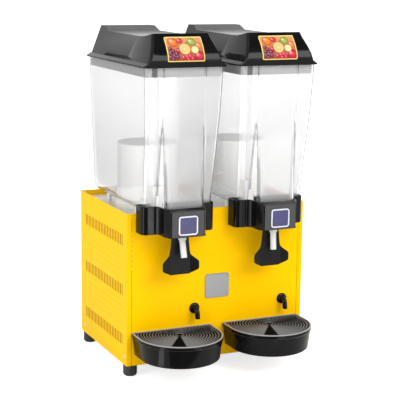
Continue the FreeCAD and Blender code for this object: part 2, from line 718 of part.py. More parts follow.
def coil(radius, rise, turns, wire):
    """A round wire wound as a helix of biarcs, two to each quarter turn, with short straight ends."""
    def on_helix(quarter):
        turn = math.pi * quarter / 2
        point = Vector(radius * math.cos(turn), radius * math.sin(turn), rise * quarter / (4 * turns))
        heading = Vector(-radius * math.sin(turn), radius * math.cos(turn), rise / (2 * math.pi * turns))
        return point, heading.normalize()

    def arc(start, corner, end):
        half_chord = start.distanceToPoint(end) / 2
        half_turn = math.acos(half_chord / start.distanceToPoint(corner))
        middle = (start + end) / 2
        top = middle + (corner - middle).normalize() * (half_chord * math.tan(half_turn / 2))
        return Part.Arc(start, top, end).toShape()

    edges = []
    points = []
    first, heading = on_helix(0)
    rim = Part.Wire(Part.makeCircle(wire, first - heading * 2 * wire, heading))
    edges.append(Part.LineSegment(first - heading * 2 * wire, first).toShape())
    for quarter in range(int(4 * turns)):
        start, go = on_helix(quarter)
        end, come = on_helix(quarter + 1)
        span = end - start
        bend = 2 * (1 - go.dot(come))
        lean = span.dot(go + come)
        reach = (math.sqrt(lean * lean + bend * span.dot(span)) - lean) / bend
        near = start + go * reach
        far = end - come * reach
        joint = (near + far) / 2
        edges += [arc(start, near, joint), arc(joint, far, end)]
        points += [start, joint]
    last, heading = on_helix(4 * turns)
    edges.append(Part.LineSegment(last, last + heading * 2 * wire).toShape())
    gap = min(one.distanceToPoint(other) for index, one in enumerate(points)
              for other in points[index + 4:]) - 2 * wire
    print("least gap of the coil to itself: %.2f mm" % gap)
    return Part.Wire(edges).makePipeShell([rim], True, False)


# Four lobed feet on threaded studs
for name, (x, y) in FEET.items():
    knob = turned("Foot_body_" + name, [
        ("0", "0"),
        ("foot_pad", "0"),
        ("foot_radius", "foot_sole"),
        ("foot_radius", "foot_height - run_gap"),
        ("foot_stud", "foot_height - run_gap"),
        ("foot_stud", "foot_height + stud_length"),
        ("0", "foot_height + stud_length"),
    ], (x, y, "0"))
    hollow = shaped("Foot_hollows_" + name, Part.makeCompound([
        Part.makeCylinder(size("foot_notch"), size("foot_height"),
                          Vector(size("foot_radius") + size("foot_notch") / 2, 0, 0))
        .rotated(Vector(), Vector(0, 0, 1), 360 * turn / size("foot_lobes"))
        for turn in range(int(size("foot_lobes")))
    ]), (x, y, "0"))
    keep("foot_" + name, cut("Foot_" + name, knob, hollow))

# Chilled drums, their seals and the posts that carry the bowls
drums = []
seals = []
posts = []
motors = []
for hand, middle in SIDES.items():
    drums.append(turned("Evaporator_" + hand, [
        ("evaporator_radius - evaporator_wall", "0"),
        ("evaporator_radius", "0"),
        ("evaporator_radius", "evaporator_height - evaporator_crown"),
        ("evaporator_radius - evaporator_crown", "evaporator_height"),
        ("0", "evaporator_height"),
        ("0", "evaporator_height - evaporator_wall"),
        ("evaporator_radius - evaporator_crown - evaporator_wall / 2", "evaporator_height - evaporator_wall"),
        ("evaporator_radius - evaporator_wall", "evaporator_height - evaporator_crown - evaporator_wall / 2"),
    ], (middle, back("evaporator_y"), DECK)))
    seals.append(turned("Seal_" + hand, [
        ("evaporator_radius + fit_gap", "0"),
        ("evaporator_radius + seal_width", "0"),
        ("evaporator_radius + seal_width", "bowl_stand / 2"),
        ("evaporator_radius + seal_lip + fit_gap", "bowl_stand"),
        ("evaporator_radius + fit_gap", "bowl_stand"),
    ], (middle, back("evaporator_y"), DECK)))
    for x in ("-post_x", "post_x"):
        for y in ("post_front", "post_rear"):
            posts.append(cylinder("Post_%s_%d" % (hand, len(posts)), "post_radius", "bowl_stand",
                                  ("%s + %s" % (middle, x), back(y), DECK)))
    motors.append(turned("Pump_motor_" + hand, [
        ("0", "-motor_height"),
        ("motor_can", "-motor_height"),
        ("motor_can", "-sheet - flange_thick"),
        ("motor_flange", "-sheet - flange_thick"),
        ("motor_flange", "-sheet"),
        ("boss_radius", "-sheet"),
        ("boss_radius", "bowl_stand - run_gap"),
        ("0", "bowl_stand - run_gap"),
        ("0", "bowl_stand - run_gap - cup_wall"),
        ("boss_radius - cup_wall", "bowl_stand - run_gap - cup_wall"),
        ("boss_radius - cup_wall", "-sheet"),
        ("magnet_shaft + bearing_gap", "-sheet"),
        ("magnet_shaft + bearing_gap", "-shaft_reach"),
        ("0", "-shaft_reach"),
    ], ("%s + pump_x" % middle, back("pump_y"), DECK)))
    keep("drive_magnet_" + hand, turned("Drive_magnet_" + hand, [
        ("0", "-shaft_reach + bearing_gap"),
        ("magnet_shaft", "-shaft_reach + bearing_gap"),
        ("magnet_shaft", "run_gap"),
        ("magnet_radius", "run_gap"),
        ("magnet_radius", "run_gap + magnet_height"),
        ("0", "run_gap + magnet_height"),
    ], ("%s + pump_x" % middle, back("pump_y"), DECK)))
keep("evaporators", group("Evaporators", drums))
keep("bowl_seals", group("Bowl_seals", seals))
keep("support_posts", group("Support_posts", posts))
keep("pump_motors", group("Pump_motors", motors))

# Drain elbows through the front panel and the hoses that feed them from the deck
elbow_route = [
    Vector(0, size("elbow_tail") + size("sheet"), 0),
    Vector(0, -size("elbow_reach"), 0),
    Vector(0, -size("elbow_reach"), -size("elbow_drop")),
]
elbow_shape = tube(elbow_route, size("elbow_bend"), size("elbow_radius"), size("elbow_bore"))
elbow_shape.rotate(Vector(), Vector(0, 1, 0), -size("elbow_turn"))
hose_rise = size("body_height") - size("deck_recess") - size("sheet") - size("drain_z")
hose_route = [
    Vector(0, 2 * size("sheet"), 0),
    Vector(0, size("sump_y"), 0),
    Vector(0, size("sump_y"), hose_rise),
]
hose_shape = tube(hose_route, size("hose_bend"), size("hose_radius"), size("hose_bore"))
elbows = []
hoses = []
for hand, middle in SIDES.items():
    axis_x = "%s + drain_x" % middle
    pipe = shaped("Elbow_pipe_" + hand, elbow_shape, (axis_x, FRONT, up("drain_z")))
    flange = cylinder("Elbow_flange_" + hand, "elbow_flange", "elbow_flange_thick",
                      (axis_x, ahead("elbow_flange_thick"), up("drain_z")), "y")
    bore = cylinder("Elbow_bore_" + hand, "elbow_bore", "2 * elbow_flange_thick",
                    (axis_x, ahead("1.5 * elbow_flange_thick"), up("drain_z")), "y")
    elbows.append(cut("Elbow_" + hand, fuse("Elbow_solid_" + hand, pipe, flange), bore))
    hoses.append(shaped("Drain_hose_" + hand, hose_shape, (axis_x, FRONT, up("drain_z"))))
keep("drain_elbows", group("Drain_elbows", elbows))
keep("drain_hoses", group("Drain_hoses", hoses))


def bowl_ring(height, inset, along):
    """Outline of a bowl at one height: along is 0 at the rim, 1 at the flutes' top and 2 at the heel."""
    low = max(0.0, along - 1)
    drop = (size("bowl_height") - height) / (size("bowl_height") - size("bowl_heel"))
    half = size("bowl_half") - size("bowl_taper") * min(1.0, drop) - inset
    rear = size("bowl_back") - inset
    plain = size("bowl_front") - size("bowl_lean") * min(1.0, along)
    lobe = plain + (size("lobe_front") - plain) * low - inset
    nose = plain + (size("nose_front") - plain) * low - min(inset, size("bowl_wall"))
    bevel = size("lobe_bevel")
    corner = size("bowl_corner")
    flank = size("nose_half") - min(inset, size("bowl_wall"))
    right = [
        (flank - size("nose_bevel"), -nose),
        (flank, -nose + size("nose_bevel") * low),
        (flank + bevel / 5, -lobe - bevel * low),
        (flank + bevel, -lobe),
        (half - corner, -lobe),
        (half, -lobe + corner),
        (half, rear - corner),
        (half - corner, rear),
    ]
    left = [(-x, y) for x, y in reversed(right)]
    return Part.makePolygon([Vector(x, y, height) for x, y in right + left + right[:1]])


# Shares of the heel's height at which its round is drawn
HEEL_SHARES = (1, 0.45, 0.15, 0)


def bowl_solid(wall, top):
    """The bowl's form at a given depth inside its outer face, drawn up to a given height."""
    heel = size("bowl_heel") - wall
    rings = [bowl_ring(top, wall, 0), bowl_ring(size("flute_height"), wall, 1)]
    for share in HEEL_SHARES:
        shrink = heel * (1 - math.sqrt(1 - (1 - share) ** 2))
        rings.append(bowl_ring(wall + heel * share, wall + shrink, 2))
    return Part.makeLoft(rings, True, True)


def make_bowl(hand, middle):
    """Clear bowl: open top, fluted front, a hole over the drum and a neck for the piston."""
    origin = (middle, FRONT, BOWL_FLOOR)
    outside = shaped("Bowl_outside_" + hand, bowl_solid(0, size("bowl_height")), origin)
    inside = shaped("Bowl_inside_" + hand, bowl_solid(size("bowl_wall"), size("bowl_height") + 1), origin)
    neck = cylinder("Bowl_neck_" + hand, "neck_radius", "neck_drop + bowl_wall / 2",
                    (middle, ahead("piston_y"), BOWL_FLOOR + " - neck_drop"))
    drum_hole = cylinder("Drum_hole_" + hand, "evaporator_radius + run_gap", "4 * bowl_wall",
                         (middle, back("evaporator_y"), BOWL_FLOOR + " - bowl_wall"))
    neck_bore = cylinder("Neck_bore_" + hand, "piston_radius + run_gap", "neck_drop + 3 * bowl_wall",
                         (middle, ahead("piston_y"), BOWL_FLOOR + " - neck_drop - bowl_wall"))
    shell = cut("Bowl_shell_" + hand, outside, inside)
    with_neck = fuse("Bowl_with_neck_" + hand, shell, neck)
    keep("bowl_" + hand, cut("Bowl_" + hand, with_neck, drum_hole, neck_bore))


def make_pump(hand, middle):
    """Pump housing with its outlet block, the riser tube and the impeller."""
    floor = BOWL_FLOOR + " + bowl_wall"
    x = "%s + pump_x" % middle
    y = back("pump_y")
    cover = cylinder("House_cover_" + hand, "house_radius", "house_height", (x, y, floor))
    block = slab("House_block_" + hand, ("block_side", "block_side", "block_height"),
                 (x, back("block_y - block_side / 2"), floor))
    room = cylinder("House_room_" + hand, "house_radius - house_wall", "house_height - house_wall",
                    (x, y, floor))
    pin = cylinder("House_pin_" + hand, "house_pin", "house_height",
                   (x, y, floor + " + run_gap"))
    duct = turned("House_duct_" + hand, [
        ("0", "house_wall"),
        ("riser_bore", "house_wall"),
        ("riser_bore", "block_height - riser_socket"),
        ("riser_radius + fit_gap", "block_height - riser_socket"),
        ("riser_radius + fit_gap", "block_height + house_wall"),
        ("0", "block_height + house_wall"),
    ], (x, back("block_y"), floor))
    inlet = cylinder("House_inlet_" + hand, "riser_bore", "pump_y - block_y - house_radius / 2",
                     (x, back("block_y"), floor + " + house_wall + riser_bore"), "y")
    keep("pump_housing_" + hand, cut("Pump_housing_" + hand, fuse("House_form_" + hand, cover, block),
                                     cut("House_space_" + hand, room, pin), duct, inlet))
    foot = floor + " + block_height - riser_socket"
    riser = cylinder("Riser_form_" + hand, "riser_radius",
                     "riser_top - bowl_wall - block_height + riser_socket",
                     (x, back("block_y"), foot))
    bore = cylinder("Riser_hole_" + hand, "riser_bore", "riser_top",
                    (x, back("block_y"), foot + " - bowl_wall"))
    keep("riser_tube_" + hand, cut("Riser_tube_" + hand, riser, bore))
    wheel_foot = (x, y, floor + " + run_gap")
    wheel = [cylinder("Impeller_hub_" + hand, "impeller_hub", "impeller_height", wheel_foot),
             cylinder("Impeller_disc_" + hand, "impeller_radius", "impeller_disc", wheel_foot)]
    vane = Part.makeBox(size("impeller_radius"), size("impeller_vane"), size("impeller_height"),
                        Vector(0, -size("impeller_vane") / 2, 0))
    for number in range(int(size("impeller_vanes"))):
        turn = 360 * number / size("impeller_vanes")
        wheel.append(shaped("Impeller_vane_%s_%d" % (hand, number), vane.rotated(Vector(), Z_STEP, turn),
                            (x, y, floor + " + run_gap")))
    eye = cylinder("Impeller_eye_" + hand, "house_pin + bearing_gap", "2 * impeller_height",
                   (x, y, floor + " - impeller_disc"))
    tip = cylinder("Impeller_tip_" + hand, "impeller_radius", "impeller_height", (x, y, floor + " + run_gap"))
    wheel_form = common("Impeller_trim_" + hand, fuse("Impeller_form_" + hand, *wheel), tip)
    keep("impeller_" + hand, cut("Impeller_" + hand, wheel_form, eye))


def make_collar(hand, middle):
    """Glossy collar round the bowl's foot: a stepped nose, ears for the lever, a floor for the spout."""

    def form(inset):
        right = [
            ("collar_half - %s" % inset, "0"),
            ("collar_half - %s" % inset, "bowl_corner - collar_lobe + %s" % inset),
            ("collar_half - bowl_corner - %s / 2" % inset, "%s - collar_lobe" % inset),
            ("collar_nose_half + lobe_bevel - %s" % inset, "%s - collar_lobe" % inset),
            ("collar_nose_half - %s" % inset, "%s - collar_lobe - lobe_bevel" % inset),
            ("collar_nose_half - %s" % inset, "-collar_nose_step"),
            ("collar_nose_face - %s / 2" % inset, "%s - collar_nose" % inset),
        ]
        left = [("-(%s)" % x, y) for x, y in reversed(right)]
        return [(x, y) for x, y in right + left]

    low = BOWL_FLOOR + " - collar_low"
    outer = prism("Collar_outer_" + hand, form("0"), "collar_low + collar_top", (middle, FRONT, low))
    inner = prism("Collar_inner_" + hand, form("collar_wall"), "collar_low + collar_top - 2 * collar_wall",
                  (middle, FRONT, low + " + collar_wall"))
    bowl_seat = shaped("Collar_seat_" + hand, bowl_solid(-size("collar_gap"), size("bowl_height")),
                       (middle, FRONT, BOWL_FLOOR))
    underside = slab("Collar_underside_" + hand, ("2 * collar_half", "collar_nose", "2 * collar_wall"),
                     (middle, ahead("paddle_y + paddle_thick + run_gap"), low + " - collar_wall / 2"))
    bevel = prism("Collar_bevel_" + hand, [
        ("-collar_nose - 1", "collar_top - collar_bevel"),
        ("-collar_nose", "collar_top - collar_bevel"),
        ("-nose_front - collar_bevel / 2", "collar_top"),
        ("-nose_front - collar_bevel / 2", "collar_top + 1"),
        ("-collar_nose - 1", "collar_top + 1"),
    ], "2 * collar_half", ("%s - collar_half" % middle, FRONT, BOWL_FLOOR), YZ_PLANE)
    spout_hole = cylinder("Collar_spout_hole_" + hand, "spout_socket + fit_gap", "4 * collar_wall",
                          (middle, ahead("piston_y"), low + " - collar_wall"))
    shell = cut("Collar_shell_" + hand, outer, inner, bowl_seat, underside, bevel, spout_hole)
    ears = []
    for side in (-1, 1):
        ears.append(slab("Collar_ear_%s_%d" % (hand, side),
                         ("ear_thick", "2 * ear_half", "collar_low - pivot_drop + ear_half"),
                         ("%s + %d * (ear_inner + ear_thick / 2)" % (middle, side),
                          ahead("pivot_y + ear_half"), low)))
    pin_hole = cylinder("Collar_pin_hole_" + hand, "pin_radius + bearing_gap", "4 * pin_half",
                        ("%s - 2 * pin_half" % middle, ahead("pivot_y"), BOWL_FLOOR + " - pivot_drop"), "x")
    keep("collar_" + hand, cut("Collar_" + hand, fuse("Collar_with_ears_" + hand, shell, *ears), pin_hole))
    badge = slab("Badge_form_" + hand, ("2 * badge_half", "badge_thick", "badge_height"),
                 (middle, ahead("collar_nose + badge_thick"), BOWL_FLOOR + " - badge_low"))
    keep("badge_" + hand, rounded("Badge_" + hand, badge, Y_STEP, "badge_corner"))


def make_tap(hand, middle):
    """Piston, spring, spout, lever and pin of one tap."""
    x = middle
    y = ahead("piston_y")
    piston = turned("Piston_form_" + hand, [
        ("piston_bore", "-piston_tail"),
        ("piston_radius", "-piston_tail"),
        ("piston_radius", "-flange_drop"),
        ("flange_radius", "-flange_drop"),
        ("flange_radius", "flange_height - flange_drop"),
        ("piston_radius", "flange_height - flange_drop"),
        ("piston_radius", "bowl_wall + fit_gap"),
        ("piston_head", "bowl_wall + fit_gap"),
        ("piston_head", "bowl_wall + piston_head_height"),
        ("0", "bowl_wall + piston_head_height"),
        ("0", "fit_gap"),
        ("piston_bore", "fit_gap"),
    ], (x, y, BOWL_FLOOR))
    port = slab("Piston_port_" + hand, ("4 * piston_radius", "port_width", "port_height"),
                (x, y + " - port_width / 2", BOWL_FLOOR + " + fit_gap - port_height"))
    keep("piston_" + hand, cut("Piston_" + hand, piston, port))
    reach = size("flange_drop") - size("flange_height") - size("neck_drop")
    wire = size("spring_wire")
    rise = reach - 2 * wire - 2 * size("fit_gap")
    wound = coil(size("spring_radius"), rise, size("spring_turns"), wire)
    keep("piston_spring_" + hand,
         shaped("Piston_spring_" + hand, wound,
                (x, y, BOWL_FLOOR + " - flange_drop + flange_height + spring_wire + fit_gap")))
    socket = cylinder("Spout_socket_" + hand, "spout_socket", "socket_low - socket_top",
                      (x, y, BOWL_FLOOR + " - socket_low"))
    lean = math.radians(size("spout_lean_" + hand))
    run = size("spout_length")
    route = [Vector(0, 0, size("spout_radius")), Vector(),
             Vector(0, -run * math.sin(lean), -run * math.cos(lean))]
    foot = (x, y, BOWL_FLOOR + " - socket_low")
    nozzle = shaped("Spout_nozzle_" + hand, tube(route, size("spout_radius"), size("spout_radius")), foot)
    hollow = shaped("Spout_hollow_" + hand, tube(route, size("spout_radius"), size("spout_bore")), foot)
    seat = cylinder("Spout_seat_" + hand, "piston_radius + run_gap", "socket_low - socket_top",
                    (x, y, BOWL_FLOOR + " - socket_low + spout_radius / 2"))
    keep("spout_" + hand, cut("Spout_" + hand, fuse("Spout_form_" + hand, socket, nozzle), seat, hollow))

    pivot = (x, ahead("pivot_y"), BOWL_FLOOR + " - pivot_drop")
    parts = []
    for side in (-1, 1):
        shift = "%s + %d * (arm_inner + arm_thick / 2)" % (x, side)
        parts.append(slab("Arm_%s_%d" % (hand, side),
                          ("arm_thick", "pivot_y - paddle_y + paddle_thick / 2", "2 * arm_half"),
                          (shift, pivot[1], pivot[2] + " - arm_half")))
        parts.append(cylinder("Arm_eye_%s_%d" % (hand, side), "arm_half + pin_radius / 2", "arm_thick",
                              (shift + " - arm_thick / 2", pivot[1], pivot[2]), "x"))
        peg_end = "%s + %d * peg_inner" % (x, side)
        if side < 0:
            peg_end = "%s - arm_inner - arm_thick / 2" % x
        parts.append(cylinder("Peg_%s_%d" % (hand, side), "peg_radius",
                              "arm_inner + arm_thick / 2 - peg_inner",
                              (peg_end, y, pivot[2]), "x"))
    silhouette = [
        ("-arm_inner", "-fork_low"),
        ("-arm_inner", "arm_half - pivot_drop"),
        ("-neck_half", "arm_half - pivot_drop"),
        ("-neck_half", "-neck_low"),
        ("-paddle_half", "-paddle_shoulder"),
        ("-paddle_half", "-paddle_widest"),
        ("-paddle_foot", "-paddle_low"),
        ("paddle_foot", "-paddle_low"),
        ("paddle_half", "-paddle_widest"),
        ("paddle_half", "-paddle_shoulder"),
        ("neck_half", "-neck_low"),
        ("neck_half", "arm_half - pivot_drop"),
        ("arm_inner", "arm_half - pivot_drop"),
        ("arm_inner", "-fork_low"),
    ]
    front_form = prism("Paddle_front_" + hand, silhouette, "2 * paddle_half",
                       (x, ahead("paddle_y - paddle_half"), BOWL_FLOOR), XZ_PLANE)
    half = "paddle_thick / 2"
    plan_form = prism("Paddle_plan_" + hand, [
        ("-paddle_half", "-paddle_y - wing_reach - " + half),
        ("-wing_start", "-paddle_y - " + half),
        ("wing_start", "-paddle_y - " + half),
        ("paddle_half", "-paddle_y - wing_reach - " + half),
        ("paddle_half", "-paddle_y - wing_reach + " + half),
        ("wing_start", "-paddle_y + " + half),
        ("-wing_start", "-paddle_y + " + half),
        ("-paddle_half", "-paddle_y - wing_reach + " + half),
    ], "paddle_low", (x, FRONT, BOWL_FLOOR + " - paddle_low"))
    parts.append(common("Paddle_" + hand, front_form, plan_form))
    eye = cylinder("Lever_eye_" + hand, "pin_radius + bearing_gap", "4 * pin_half",
                   ("%s - 2 * pin_half" % x, pivot[1], pivot[2]), "x")
    keep("lever_" + hand, cut("Lever_" + hand, fuse("Lever_form_" + hand, *parts), eye))
    keep("lever_pin_" + hand, cylinder("Lever_pin_" + hand, "pin_radius", "2 * pin_half",
                                       ("%s - pin_half" % x, pivot[1], pivot[2]), "x"))


for hand, middle in SIDES.items():
    make_bowl(hand, middle)
    make_pump(hand, middle)
    make_collar(hand, middle)
    make_tap(hand, middle)


def lid_form(name, middle, inset, side_inset):
    """A lid's hull, drawn in by its wall, as what its side and front outlines share."""
    foot = "0" if inset == "0" else "-lid_rim"
    side_points = [
        ("-lid_front + %s" % inset, foot),
        ("-lid_front + %s" % inset, "lid_rim"),
        ("-lid_chin_y + %s" % inset, "lid_chin"),
        ("-lid_jaw_y + %s" % inset, "lid_jaw - %s / 2" % inset),
        ("-lid_cheek_y + %s" % inset, "lid_cheek - %s / 2" % inset),
        ("-lid_brow_y + %s" % inset, "lid_brow - %s" % inset),
        ("lid_flat_front - %s" % inset, "lid_flat - %s" % inset),
        ("lid_flat_back + %s" % inset, "lid_flat - %s" % inset),
        ("lid_crest_front + %s" % inset, "lid_crest - %s" % inset),
        ("lid_crest_back - %s" % inset, "lid_crest - %s" % inset),
        ("lid_back - %s" % inset, "lid_rim"),
        ("lid_back - %s" % inset, foot),
    ]
    right = [
        ("lid_half - %s" % side_inset, foot),
        ("lid_half - %s" % side_inset, "lid_rim"),
        ("lid_flare_half - %s" % side_inset, "lid_flare"),
        ("lid_top_half - %s" % side_inset, "lid_flat"),
        ("lid_crest_half - %s" % side_inset, "lid_crest + 1"),
    ]
    left = [("-(%s)" % x, z) for x, z in reversed(right)]
    rim = BOWL_FLOOR + " + bowl_height + fit_gap"
    from_side = prism(name + "_side", side_points, "2 * lid_half",
                      ("%s - lid_half" % middle, FRONT, rim), YZ_PLANE)
    from_front = prism(name + "_front", right + left, "lid_front + lid_back",
                       (middle, back("lid_back"), rim), XZ_PLANE)
    return common(name, from_side, from_front)


def make_lid(hand, middle):
    """Black lid: hollow hull, finger recesses, a floor flange and a skirt inside the bowl."""
    rim = BOWL_FLOOR + " + bowl_height + fit_gap"
    hull = lid_form("Lid_hull_" + hand, middle, "0", "0")
    room = lid_form("Lid_room_" + hand, middle, "lid_wall", "(lid_wall + grip_depth)")
    grips = []
    for side in (-1, 1):
        corners = [
            ("lid_flare_half - grip_depth", "lid_flare"),
            ("lid_half + grip_depth", "lid_flare"),
            ("lid_half + grip_depth", "lid_flat + 1"),
            ("lid_top_half - grip_depth", "lid_flat + 1"),
        ]
        corners = [("%d * (%s)" % (side, x), z) for x, z in corners]
        grips.append(prism("Lid_grip_%s_%s" % (hand, "left" if side < 0 else "right"), corners,
                           "grip_back - grip_front", (middle, back("grip_back"), rim), XZ_PLANE))
    shell = cut("Lid_shell_" + hand, hull, room, *grips)

    def skirt(name, inset, low, height):
        taper = "bowl_taper * lid_skirt / (bowl_height - bowl_heel)"
        half = "bowl_half - bowl_wall - run_gap - %s - %s" % (taper, inset)
        lean = "bowl_lean * lid_skirt / (bowl_height - flute_height)"
        front = "bowl_wall + run_gap + %s - bowl_front + %s" % (inset, lean)
        rear = "bowl_back - bowl_wall - run_gap - %s" % inset
        right = [
            (half, "%s + bowl_corner" % front),
            (half, "%s - bowl_corner" % rear),
            ("%s - bowl_corner" % half, rear),
        ]
        left = [("-(%s)" % x, y) for x, y in reversed(right)]
        ends = [("bowl_corner - (%s)" % half, front), ("%s - bowl_corner" % half, front)]
        return prism(name + hand, right + left + ends, height, (middle, FRONT, "%s + %s" % (rim, low)))

    collar_plate = slab("Lid_floor_" + hand, ("2 * lid_half", "lid_front + lid_back", "lid_wall"),
                        (middle, ahead("lid_front"), rim))
    plug = skirt("Lid_plug_", "0", "-lid_skirt", "lid_skirt + lid_wall / 2")
    hole = skirt("Lid_mouth_", "lid_skirt_wall", "-2 * lid_skirt", "3 * lid_skirt")
    floor = cut("Lid_flange_" + hand, fuse("Lid_floor_and_plug_" + hand, collar_plate, plug), hole)
    keep("lid_" + hand, fuse("Lid_" + hand, shell, floor))
    top = "(lid_cheek + (lid_brow - lid_cheek) / 3)"
    top_y = "(-lid_cheek_y + (lid_cheek_y - lid_brow_y) / 3)"
    foot_y = "(-lid_front + (lid_front - lid_chin_y) * (picture_low - lid_rim) / (lid_chin - lid_rim))"
    proud = "picture_thick"
    plate = prism("Picture_form_" + hand, [
        (foot_y, "picture_low"),
        ("-lid_chin_y", "lid_chin"),
        ("-lid_jaw_y", "lid_jaw"),
        ("-lid_cheek_y", "lid_cheek"),
        (top_y, top),
        (top_y + " - " + proud, top + " + %s / 2" % proud),
        ("-lid_cheek_y - " + proud, "lid_cheek + %s / 2" % proud),
        ("-lid_jaw_y - " + proud, "lid_jaw + %s / 2" % proud),
        ("-lid_chin_y - " + proud, "lid_chin"),
        (foot_y + " - " + proud, "picture_low"),
    ], "2 * picture_half", ("%s - picture_half" % middle, FRONT, rim), YZ_PLANE)
    keep("lid_picture_" + hand, plate)


def dee(inset, rear, height):
    """Half-round outline of a tray at one height."""
    hub = size("tray_half") - size("tray_reach")
    radius = size("tray_half") - inset
    corners = [Vector(radius, hub, height), Vector(radius, -rear, height),
               Vector(-radius, -rear, height), Vector(-radius, hub, height)]
    edges = [Part.LineSegment(a, b).toShape() for a, b in zip(corners, corners[1:])]
    edges.append(Part.Arc(corners[-1], Vector(0, hub - radius, height), corners[0]).toShape())
    return Part.Wire(edges)


def dee_solid(rings):
    """A solid through half-round outlines, each an inset, a rear clearance and a height."""
    return Part.makeLoft([dee(*ring_values) for ring_values in rings], True, True)


def make_tray(hand, middle):
    """Half-round drip tray with a rim band and a ledge, its ringed grille and its bracket."""
    gap = size("fit_gap")
    tall = size("tray_height")
    wall = size("tray_wall")
    proud = size("tray_proud")
    ledge = tall - size("ledge_drop")
    origin = (middle, FRONT, up("tray_low"))
    body = shaped("Tray_body_" + hand, dee_solid([(proud + size("tray_taper"), gap, 0),
                                                  (proud, gap, tall - size("tray_band") / 2)]), origin)
    band_levels = [(0, gap, tall - size("tray_band")), (0, gap, tall)]
    band = shaped("Tray_band_" + hand, dee_solid(band_levels), origin)
    well = shaped("Tray_well_" + hand, dee_solid([
        (proud + size("tray_taper") + wall, gap + wall, wall),
        (proud + wall + size("ledge_width"), gap + wall + size("ledge_width"), ledge + gap),
    ]), origin)
    seat = shaped("Tray_seat_" + hand, dee_solid([(proud + wall, gap + wall, ledge),
                                                  (proud + wall, gap + wall, tall + wall)]), origin)
    keep("drip_tray_" + hand, cut("Drip_tray_" + hand, fuse("Tray_form_" + hand, body, band), well, seat))

    edge = proud + wall + size("grille_gap")
    inner = edge + size("grille_frame")
    thick = size("grille_height")
    hub = Vector(0, size("tray_half") - size("tray_reach"), 0)
    frame_form = dee_solid([(edge, gap + edge, 0), (edge, gap + edge, thick)])
    frame_room = dee_solid([(inner, gap + inner, -1), (inner, gap + inner, thick + 1)])
    field = dee_solid([(edge + 1, gap + edge + 1, -1), (edge + 1, gap + edge + 1, thick + 1)])
    rings = []
    for number in range(int(size("ring_count"))):
        near = size("ring_first") + number * size("ring_pitch")
        far = near + size("ring_width")
        low = thick - size("ring_fall")
        corners = [Vector(near, 0, thick), Vector(far, 0, low), Vector(far, 0, low - size("ring_thick")),
                   Vector(near, 0, thick - size("ring_thick")), Vector(near, 0, thick)]
        face = Part.Face(Part.makePolygon(corners))
        rings.append(face.revolve(Vector(), Z_STEP, 360).translated(hub))
    spoke = Part.makeBox(2 * size("tray_half"), size("spoke_width"), size("spoke_height"),
                         Vector(size("hub_hole") + 1, -size("spoke_width") / 2, 0))
    for number in range(int(size("spoke_count"))):
        rings.append(spoke.rotated(Vector(), Z_STEP, 360 * number / size("spoke_count")).translated(hub))
    rings.append(Part.makeCylinder(size("hub_radius"), thick, hub))
    web = Part.makeCompound([ring_shape.common(field) for ring_shape in rings])
    grate = frame_form.cut(frame_room).fuse(web.childShapes())
    grate = grate.cut(Part.makeCylinder(size("hub_hole"), 3 * thick, hub - Vector(0, 0, thick)))
    keep("drip_grille_" + hand, shaped("Drip_grille_" + hand, grate,
                                       (middle, FRONT, up("tray_low + tray_height - ledge_drop + fit_gap"))))


for hand, middle in SIDES.items():
    make_lid(hand, middle)
    make_tray(hand, middle)

# Brackets under the trays
brackets = []
for hand, middle in SIDES.items():
    tongue = slab("Tongue_" + hand, ("2 * tongue_half", "tongue_reach", "tongue_thick"),
                  (middle, ahead("tongue_reach"), up("tray_low - tongue_thick")))
    plate = slab("Tongue_plate_" + hand, ("2 * tongue_half", "tongue_thick", "tongue_drop"),
                 (middle, ahead("tongue_thick"), up("tray_low - tongue_drop")))
    brackets.append(fuse("Bracket_" + hand, tongue, plate))
keep("tray_brackets", group("Tray_brackets", brackets))

# Compressor on its grommets
can = turned("Compressor_can", [
    ("0", "0"),
    ("compressor_radius - compressor_crown / 2", "0"),
    ("compressor_radius", "compressor_crown / 2"),
    ("compressor_radius", "compressor_height - compressor_crown"),
    ("compressor_radius - compressor_crown / 3", "compressor_height - compressor_crown / 3"),
    ("compressor_radius / 2", "compressor_height"),
    ("0", "compressor_height"),
], ("compressor_x", back("compressor_y"), up("sheet + grommet_height + mount_thick / 2")))
mount = slab("Compressor_mount", ("mount_width", "mount_length", "mount_thick"),
             ("compressor_x", back("compressor_y - mount_length / 2"), up("sheet + grommet_height")))
keep("compressor", fuse("Compressor", can, mount))
grommets = []
for x in (-1, 1):
    for y in (-1, 1):
        grommets.append(cylinder("Grommet_%d" % len(grommets), "grommet_radius", "grommet_height",
                                 ("compressor_x + %d * (mount_width / 2 - mount_edge)" % x,
                                  back("compressor_y + %d * (mount_length / 2 - mount_edge)" % y),
                                  up("sheet"))))
keep("compressor_grommets", group("Compressor_grommets", grommets))

# Condenser with upright fins, its fan and the fan's motor on a stand
core = slab("Condenser_core", ("condenser_width", "condenser_length", "condenser_height"),
            ("condenser_x", back("condenser_y"), up("sheet")))
fin_room = box("Fin_room", ("fin_gap", "condenser_length * 2", "condenser_height - 2 * fin_tie"),
               ("condenser_x - condenser_width / 2 + fin_pitch - fin_gap",
                back("condenser_y - condenser_length / 2"), up("sheet + fin_tie")))
fin_count = int((size("condenser_width") - size("fin_pitch") + size("fin_gap")) // size("fin_pitch"))
keep("condenser", cut("Condenser", core, grid("Fin_rooms", fin_room, (X_STEP, size("fin_pitch"), fin_count))))
fan_face = "condenser_y - fan_space - fan_depth"
hub = cylinder("Fan_hub", "fan_hub", "fan_depth", ("condenser_x", back(fan_face), up("fan_z")), "y")
blade = Part.makeBox(size("fan_radius") - size("fan_hub") / 2, size("blade_thick"), size("blade_width"),
                     Vector(size("fan_hub") / 2, -size("blade_thick") / 2, -size("blade_width") / 2))
blade.rotate(Vector(), X_STEP, size("blade_pitch"))
blades = []
